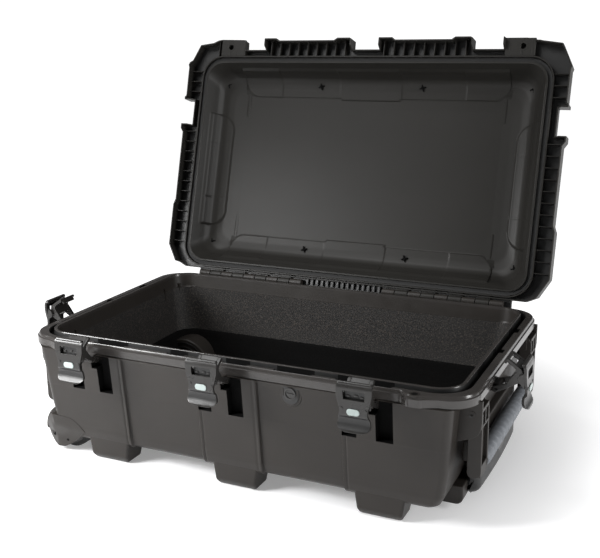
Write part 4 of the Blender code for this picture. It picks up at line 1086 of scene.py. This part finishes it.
def make_claw(name, edge, turn):
    """C-shaped claw: two arms, a hooked bar, and small latch works seen in the window."""
    bar_half = 0.0156
    place = (latch_place(edge, turn) @ Matrix.Translation((0, -LATCH_PIVOT[0], LATCH_PIVOT[1]))
             @ Matrix.Rotation(LATCH_TIP, 4, "X")
             @ Matrix.Translation((0, LATCH_PIVOT[0], -LATCH_PIVOT[1])))
    front = "front" in name
    drop, reach = (0.0058, -0.0160) if front else (0.0, -0.0120)
    side = arc((-0.030, 0.203), 0.0064, 10, -110, 8) + [(-0.0425, 0.2180)]
    side += arc((-0.0475, 0.2410), 0.0050, 225, 120, 6)
    side += [(y, z - drop) for y, z in ((-0.0410, 0.2537), (-0.0385, 0.2552),
                                        (reach - 0.003, 0.2552), (reach, 0.2540),
                                        (reach, 0.2495), (-0.0320, 0.2495), (-0.0358, 0.2455))]
    side += [(-0.0358, 0.2190)]
    build = Build()
    for x in ((-0.0206, -0.0146), (0.0146, 0.0206)):
        build.bm(prism(side, "X", *x, 0.0008))
    plate = reach if front else -0.0280
    top, bottom = 0.2548 - drop, 0.2495 - drop
    for y, z, width, segments in (((-0.0400, plate), (bottom, top), 0.0016, 3),
                                  ((reach - 0.0045, reach), (0.2440 - drop, 0.2546 - drop),
                                   0.0010, 3),
                                  ((-0.0400, -0.0360), (0.2335, 0.2530 - drop), 0.0008, 2)):
        build.bm(block((-bar_half, bar_half), y, z, width, segments))
    for x in (-0.0080, 0.0020):
        build.bm(block((x, x + 0.0055), (-0.0440, -0.0395), (0.2390, 0.2480), 0.0006))
    build.bm(rod(0.0024, (-0.0150, -0.0430, 0.2452), (0.0150, -0.0430, 0.2452), 16, 0.0003))
    claw = build.object(f"{name}_claw_hook", [LATCH], f"{name}_claw_body", "latch_plastic",
                        place, 35)
    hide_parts(f"{name}_claw")


def make_latches():
    """Claw and lever of every latch."""
    for short, (edge, turn) in zip(LATCH_NAMES, latch_edges()):
        make_claw(f"latch_{short}", edge, turn)
        make_lever(f"latch_{short}", edge, turn)


# ---- Handles, trolley, wheels, valve, foam ---------------------------------------------
def make_grip(side, sign):
    """Rubber sleeve with raised crescent ridges for the fingers."""
    low, high = GRIP_START, RING_WIDTH - GRIP_START
    ridge_pitch = 0.0198
    ys = np.linspace(low, high, 260)
    turns = np.linspace(0, 2 * math.pi, 40, endpoint=False)
    rows = []
    for y in ys:
        t = (y - low) / (high - low)
        end = min(1.0, min(y - low, high - y) / 0.0030)
        ring = []
        for a in turns:
            outer = math.cos(a)
            wave = math.cos((y - MID_Y) / ridge_pitch * 2 * math.pi + 1.1 * abs(math.sin(a)))
            ridge = 0.0014 * ease((wave + 0.2) / 0.5) * (0.35 + 0.65 * ease((outer + 0.4) / 0.8))
            radius = GRIP_RADIUS - 0.0019 + float(ridge) + 0.0004 * math.sin(math.pi * t)
            radius *= 0.86 + 0.14 * math.sqrt(end)
            x = sign * (GRIP_X + radius * outer)
            ring.append((x, y, GRIP_Z + radius * math.sin(a)))
        rows.append(np.array(ring))
    sleeve = finish_mesh(f"handle_{side}_sleeve", *capped(rows, True), [GRIP],
                         f"handle_{side}_body", "grip_rubber", sharp=60)
    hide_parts(f"handle_{side}_grip")


def arm_outline():
    """Side view of a handle arm, round its pivot and round the end of the grip."""
    top = arc((HANDLE_X + 0.0035, HANDLE_Z), 0.0130, 0, 180, 10)
    top = [(min(max(x, 0.3890), 0.4110), z) for x, z in top]
    return top + arc((GRIP_X, 0.0925), 0.0110, 180, 360, 12)


def make_arms(side, sign):
    """Both arms of a bail handle, each a plate with a ribbed, open outer face."""
    back, plate = 0.389, 0.0050
    build = Build()
    for y0, y1 in both_sides(ARM_Y):
        core = [(sign * (back + (x - back) * 0.72), z) for x, z in arm_outline()]
        build.bm(prism(core, "Y", y0 + 0.0008, y1 - 0.0008, 0.0004, 1, 40))
        outline = [(sign * x, z) for x, z in arm_outline()]
        for a, b in ((y0, y0 + plate), (y1 - plate, y1)):
            build.bm(prism(outline, "Y", a, b, 0.0012, 3, 40))
        face = sorted((sign * 0.3950, sign * 0.4108))
        for z0, z1 in ((0.0830, 0.1020), (0.1645, 0.1690), (0.1905, 0.1970)):
            build.bm(block(face, (y0 + 0.002, y1 - 0.002), (z0, z1), 0.0012, 3))
        middle = (y0 + y1) / 2
        build.bm(block(face, (middle - 0.0022, middle + 0.0022), (0.1660, 0.1930), 0.0008))
    build.bm(rod(0.0065, (sign * GRIP_X, 0.069, GRIP_Z), (sign * GRIP_X, 0.391, GRIP_Z), 16))
    arms = build.object(f"handle_{side}_arms", [SHELL], f"handle_{side}_body", "shell_plastic")
    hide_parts(f"handle_{side}_frame")


def make_trolley_grip():
    """Pull handle with round ends and a rounded lower edge, and its release button."""
    half, low, high, inner = 0.1338, 0.0160, 0.0740, 0.3790
    under_radius, top_radius = 0.0150, 0.0040
    rows = []
    for t in np.linspace(-1, 1, 60):
        along = math.sin(t * math.pi / 2)
        outer = 0.3972 - 0.0040 * along * along
        squeeze = math.sqrt(max(0.03, 1 - max(0.0, (abs(along) - 0.86) / 0.14) ** 2))
        outer = inner + (outer - inner) * (0.35 + 0.65 * squeeze)
        top, under = high - 0.008 * (1 - squeeze), low + 0.014 * (1 - squeeze)
        section = [(inner, top), (inner, under)]
        section += arc((outer - under_radius, under + 0.0165), under_radius, -86, 0, 8)
        section += arc((outer - top_radius, top - top_radius), top_radius, 0, 90, 5)
        rows.append(np.array([(x, MID_Y + half * along, z) for x, z in section]))
    bar = finish_mesh("trolley_pull", *capped(rows, True), [BLACK], "trolley_handle",
                      "shell_plastic", sharp=50)
    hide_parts("trolley_grip")
    button = Build()
    outline = rounded(0.0226, 0.0076, 0.0066, (MID_Y, 0.0560))
    button.bm(prism(outline, "X", 0.3925, 0.3982, 0.0012, 3))
    knob = button.object("trolley_release", [LATCH], "trolley_button_body", "latch_plastic")
    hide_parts("trolley_button")


COVER_CORNER_X = -0.3680


def cover_front(x, z):
    """Front face of a wheel cover: it follows the body and turns back round the corner."""
    face = np.interp(z, (0.008, 0.033, 0.039, 0.054, 0.076),
                     (-0.0010, -0.0030, -0.0052, -0.0093, -0.0112))
    return face + 0.45 * max(0.0, COVER_CORNER_X - x)


def make_wheel_cover():
    """Covers over the wheels, flush with the body, each with a screw and a small hole; a
    near-black disc round the screw and the hole are painted shade.
    """
    back, lip = 0.0160, 0.0016
    build = Build()
    outline = arc((-0.3640, 0.0405), 0.0345, 100, 262, 22)
    outline += [(-0.3550, 0.0085), (-0.3440, 0.0140), (-0.3330, 0.0215), (-0.3160, 0.0340),
                (-0.3010, 0.0478), (-0.3030, 0.0510), (-0.3070, 0.0560), (-0.3120, 0.0610),
                (-0.3170, 0.0655), (-0.3230, 0.0695), (-0.3300, 0.0725), (-0.3400, 0.0742),
                (-0.3560, 0.0746)]
    outline = [(x, max(z, 0.0072)) for x, z in outline]
    count = len(outline)
    centre = (sum(x for x, z in outline) / count, sum(z for x, z in outline) / count)
    for mirror in (False, True):
        bm = bmesh.new()
        rings = []
        for shrink, depth in ((1.0, back), (1.0, lip), (0.985, 0.0), (0.80, -0.0002),
                              (0.55, -0.0002), (0.30, -0.0002)):
            ring = []
            for x, z in outline:
                x, z = centre[0] + (x - centre[0]) * shrink, centre[1] + (z - centre[1]) * shrink
                y = depth if depth == back else cover_front(x, z) + depth
                ring.append(bm.verts.new((x, RING_WIDTH - y if mirror else y, z)))
            rings.append(ring)
        for low, high in zip(rings, rings[1:]):
            for i in range(count):
                j = (i + 1) % count
                bm.faces.new((low[i], low[j], high[j], high[i]))
        bm.faces.new(rings[0])
        bm.faces.new(rings[-1])
        build.bm(bm)
        # Painted shade: the disc round the screw and the small hole are near-black (look 1); the
        # screw keeps the shell plastic.
        for x, z, radius, rise, look in ((-0.3800, 0.0330, 0.0068, 0.0006, 1),
                                         (-0.3460, 0.0245, 0.0024, 0.0006, 1),
                                         (-0.3802, 0.0330, 0.0026, 0.0012, 0)):
            lean = -0.41 if x < COVER_CORNER_X else 0.0
            away = math.sqrt(1 - lean * lean)
            out = Vector((lean, away if mirror else -away, 0))
            y = cover_front(x, z)
            spot = Vector((x, RING_WIDTH - y if mirror else y, z))
            build.bm(rod(radius, spot - out * 0.002, spot + out * rise, 24, 0.0002), look)
    build.object("wheel_covers", [SHELL, PAINTED_SHADE], "base", "shell_plastic")


def make_tyres():
    """Grooved tyre and five-spoked hub of each wheel."""
    profile = [(-0.0170, 0.0293), (-0.0170, 0.0350), (-0.0150, 0.0372), (-0.0060, 0.0380),
               (-0.0050, 0.0368), (0.0050, 0.0368), (0.0060, 0.0380), (0.0150, 0.0372),
               (0.0170, 0.0350), (0.0170, 0.0293)]
    for side, y in WHEEL_BAYS:
        mid = (y[0] + y[1]) / 2
        rows = [np.array([(WHEEL_X + r * math.cos(a), mid + o, WHEEL_Z + r * math.sin(a))
                          for o, r in profile])
                for a in np.linspace(0, 2 * math.pi, 72, endpoint=False)]
        build = Build()
        build.add(*skin(rows, True))
        tyre = build.object(f"wheel_{side}_tread", [TYRE], f"wheel_{side}", "tyre_rubber")
        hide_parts(f"wheel_{side}_tyre")
        disc = Build()
        for outer, inner, half, segments in ((0.0290, 0.0240, 0.0165, 48),
                                             (0.0085, 0.0044, 0.0168, 24),
                                             (0.0250, 0.0080, 0.0040, 48)):
            ends = [(WHEEL_X, mid + out, WHEEL_Z) for out in (-half, half)]
            disc.bm(ring_rod(outer, inner, *ends, segments))
        for k in range(5):
            turn = Matrix.Rotation(k * 2 * math.pi / 5, 4, "Y")
            disc.bm(block((0.0075, 0.0250), (-0.0150, 0.0150), (-0.0016, 0.0016), 0.0004), 0,
                    Matrix.Translation((WHEEL_X, mid, WHEEL_Z)) @ turn)
        hub = disc.object(f"wheel_{side}_spokes", [LATCH], f"wheel_{side}", "latch_plastic")
        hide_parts(f"wheel_{side}_hub")


def make_valve():
    """Shield-shaped valve seat and round cap, on the panel beside the middle pilaster."""
    x, z = VALVE_X, VALVE_Z
    build = Build()
    for half, top, y, width, segments, mat in ((0.0195, 0.2065, (-0.0185, -0.0060), 0.0016, 3, 0),
                                               (0.0150, 0.2050, (-0.0200, -0.0175), 0.0008, 2, 1)):
        shield = arc((x, z - 0.004), half, 180, 360, 24) + [(x + half, top), (x - half, top)]
        build.bm(prism(shield, "Y", *y, width, segments), mat)
    for sign in (-1, 1):
        build.bm(block(sorted((x + sign * 0.0110, x + sign * 0.0138)), (-0.0206, -0.0190),
                       (z - 0.006, z + 0.007), 0.0006))
    build.object("valve_seat", [SHELL, BLACK], "base", "shell_plastic")
    cap = Build()
    cap.bm(ring_rod(0.0100, 0.0076, (x, -0.0190, z - 0.001), (x, -0.0222, z - 0.001), 40))
    cap.bm(rod(0.0078, (x, -0.0100, z - 0.001), (x, -0.0206, z - 0.001), 32, 0.0006))
    cap.bm(block((x - 0.0056, x + 0.0056), (-0.0219, -0.0200), (z - 0.0024, z + 0.0004), 0.0006))
    cover = cap.object("valve_knob", [LATCH], "base", "latch_plastic")
    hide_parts("valve_cap")


def make_foam():
    """Thin soft tray of foam: crowned top edge, slightly uneven walls and floor."""
    plan = Plan(np.linspace(-0.300, 0.300, 120), np.linspace(0.067, 0.393, 70), 8)
    knots = [(0.3405, 0.1965, 0.034, 0.0412), (0.3508, 0.2068, 0.040, 0.0505),
             (0.3602, 0.2132, 0.042, 0.0900), (0.3626, 0.2144, 0.042, 0.1085),
             (0.3616, 0.2134, 0.041, 0.1110), (0.3602, 0.2120, 0.040, 0.1118),
             (0.3588, 0.2106, 0.038, 0.1110), (0.3578, 0.2096, 0.037, 0.1085),
             (0.3540, 0.2070, 0.036, 0.0900), (0.3450, 0.2010, 0.036, 0.0580),
             (0.3400, 0.1960, 0.034, 0.0530), (0.3300, 0.1860, 0.030, 0.0518)]
    rows = []
    for hx, hy, r, z in smooth_wall(knots, 0.0030, 2):
        xy, n = plan.ring(hx, hy, MID_Y, r)
        wave = 0.0005 * np.sin(xy[:, 0] * 61 + z * 90) * np.cos(xy[:, 1] * 47 + z * 70)
        rows.append(at_height(xy - n * np.abs(wave)[:, None], z))
    tray = finish_mesh("foam_tray", *capped(rows), [FOAM], "base", "black_foam", sharp=70)
    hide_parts("foam_liner")


# ---- CAD nodes that stay visible -------------------------------------------------------
def dress_cad():
    """Give every CAD node that still shows its own procedural material."""
    for name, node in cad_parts.items():
        if node.hide_render:
            continue
        if name in ("lid_gasket", "valve_membrane"):
            mat = SEAL
        elif "handle" in name and "pin" in name:
            mat = BLACK
        elif "tube" in name:
            mat = ALUMINIUM
        elif "pin" in name or "axle" in name:
            mat = STEEL
        else:
            mat = LATCH
        node.data.materials.clear()
        node.data.materials.append(mat)
        soften = node.modifiers.new("soft_edges", "BEVEL")
        soften.width = 0.0003
        soften.segments = 2
        soften.limit_method = "ANGLE"


# ---- Stage -----------------------------------------------------------------------------
def make_stage():
    """Pale floor that brightens away from the case, and an even white surround."""
    mesh = bpy.data.meshes.new("floor")
    reach = 14
    corners = [(sx * reach, sy * reach, 0) for sx, sy in ((-1, -1), (1, -1), (1, 1), (-1, 1))]
    mesh.from_pydata(corners, [], [(0, 1, 2, 3)])
    floor = bpy.data.objects.new("floor", mesh)
    bpy.context.scene.collection.objects.link(floor)
    made = Nodes("pale_floor", (0.85, 0.85, 0.86), 0.9)
    set_inputs(made.shader, Emission_Color=(1, 1, 1, 1))
    away = made.tree.nodes.new("ShaderNodeVectorMath")
    away.operation = "LENGTH"
    made.link(made.place, away.inputs[0])
    made.link(made.spread(away.outputs["Value"], 0.26, 0.92, 0.40, 0.78),
              made.shader.inputs["Emission Strength"])
    made.bump(((made.noise(3, 2), 0.02, 0.001),))
    mesh.materials.append(made.mat)
    world = bpy.data.worlds.new("studio")
    world.use_nodes = True
    nodes, links = world.node_tree.nodes, world.node_tree.links
    sky, seen = nodes["Background"], nodes.new("ShaderNodeBackground")
    for node, strength in ((sky, 0.14), (seen, 1.1)):
        set_inputs(node, Color=(1, 1, 1, 1), Strength=strength)
    mix = nodes.new("ShaderNodeMixShader")
    links.new(nodes.new("ShaderNodeLightPath").outputs["Is Camera Ray"], mix.inputs["Fac"])
    links.new(sky.outputs["Background"], mix.inputs[1])
    links.new(seen.outputs["Background"], mix.inputs[2])
    links.new(mix.outputs["Shader"], nodes["World Output"].inputs["Surface"])
    bpy.context.scene.world = world
    bpy.context.scene.view_settings.view_transform = "Standard"


def area_light(name, place, target, size, power, spread=180):
    data = bpy.data.lights.new(name, "AREA")
    data.shape = "RECTANGLE"
    data.size, data.size_y = size
    data.energy = power
    data.spread = math.radians(spread)
    lamp = bpy.data.objects.new(name, data)
    bpy.context.scene.collection.objects.link(lamp)
    lamp.location = place
    lamp.rotation_euler = (Vector(target) - Vector(place)).to_track_quat("-Z", "Y").to_euler()


def make_lights():
    """Soft light from above, a small key light from the left and a fill from the right."""
    area_light("top", (-0.75, -0.75, 2.0), (0, 0, 0.2), (1.0, 1.0), 22)
    area_light("key", (-0.95, -1.0, 0.75), (-0.15, -0.3, 0.1), (0.5, 0.5), 5.0, 70)
    area_light("right_fill", (2.4, -0.2, 0.9), (0.2, 0, 0.2), (0.6, 1.2), 34)


def make_camera():
    """Camera matched to the photo: seen from the front right and a little above."""
    yaw, pitch, roll = math.radians(25.49), math.radians(15.00), math.radians(-0.82)
    distance = 1.616
    back = Vector((math.sin(yaw) * math.cos(pitch), -math.cos(yaw) * math.cos(pitch),
                   math.sin(pitch)))
    right = Vector((math.cos(yaw), math.sin(yaw), 0))
    up = back.cross(right)
    turn = Matrix((right, up, back)).transposed().to_4x4() @ Matrix.Rotation(roll, 4, "Z")
    target = Vector((0.0436, 0.1333 - ORIGIN_Y, 0.3313))
    data = bpy.data.cameras.new("camera")
    data.sensor_width = 36
    data.lens = 56.68
    data.shift_x, data.shift_y = 0.019, 0.0045
    cam = bpy.data.objects.new("camera", data)
    bpy.context.scene.collection.objects.link(cam)
    cam.matrix_world = Matrix.Translation(target + back * distance) @ turn
    bpy.context.scene.camera = cam


make_camera()
make_stage()
make_lights()
make_base()
make_lid()
make_latches()
for side, sign in (("right", 1), ("left", -1)):
    make_arms(side, sign)
    make_grip(side, sign)
make_trolley_grip()
make_wheel_cover()
make_tyres()
make_valve()
make_foam()
dress_cad()
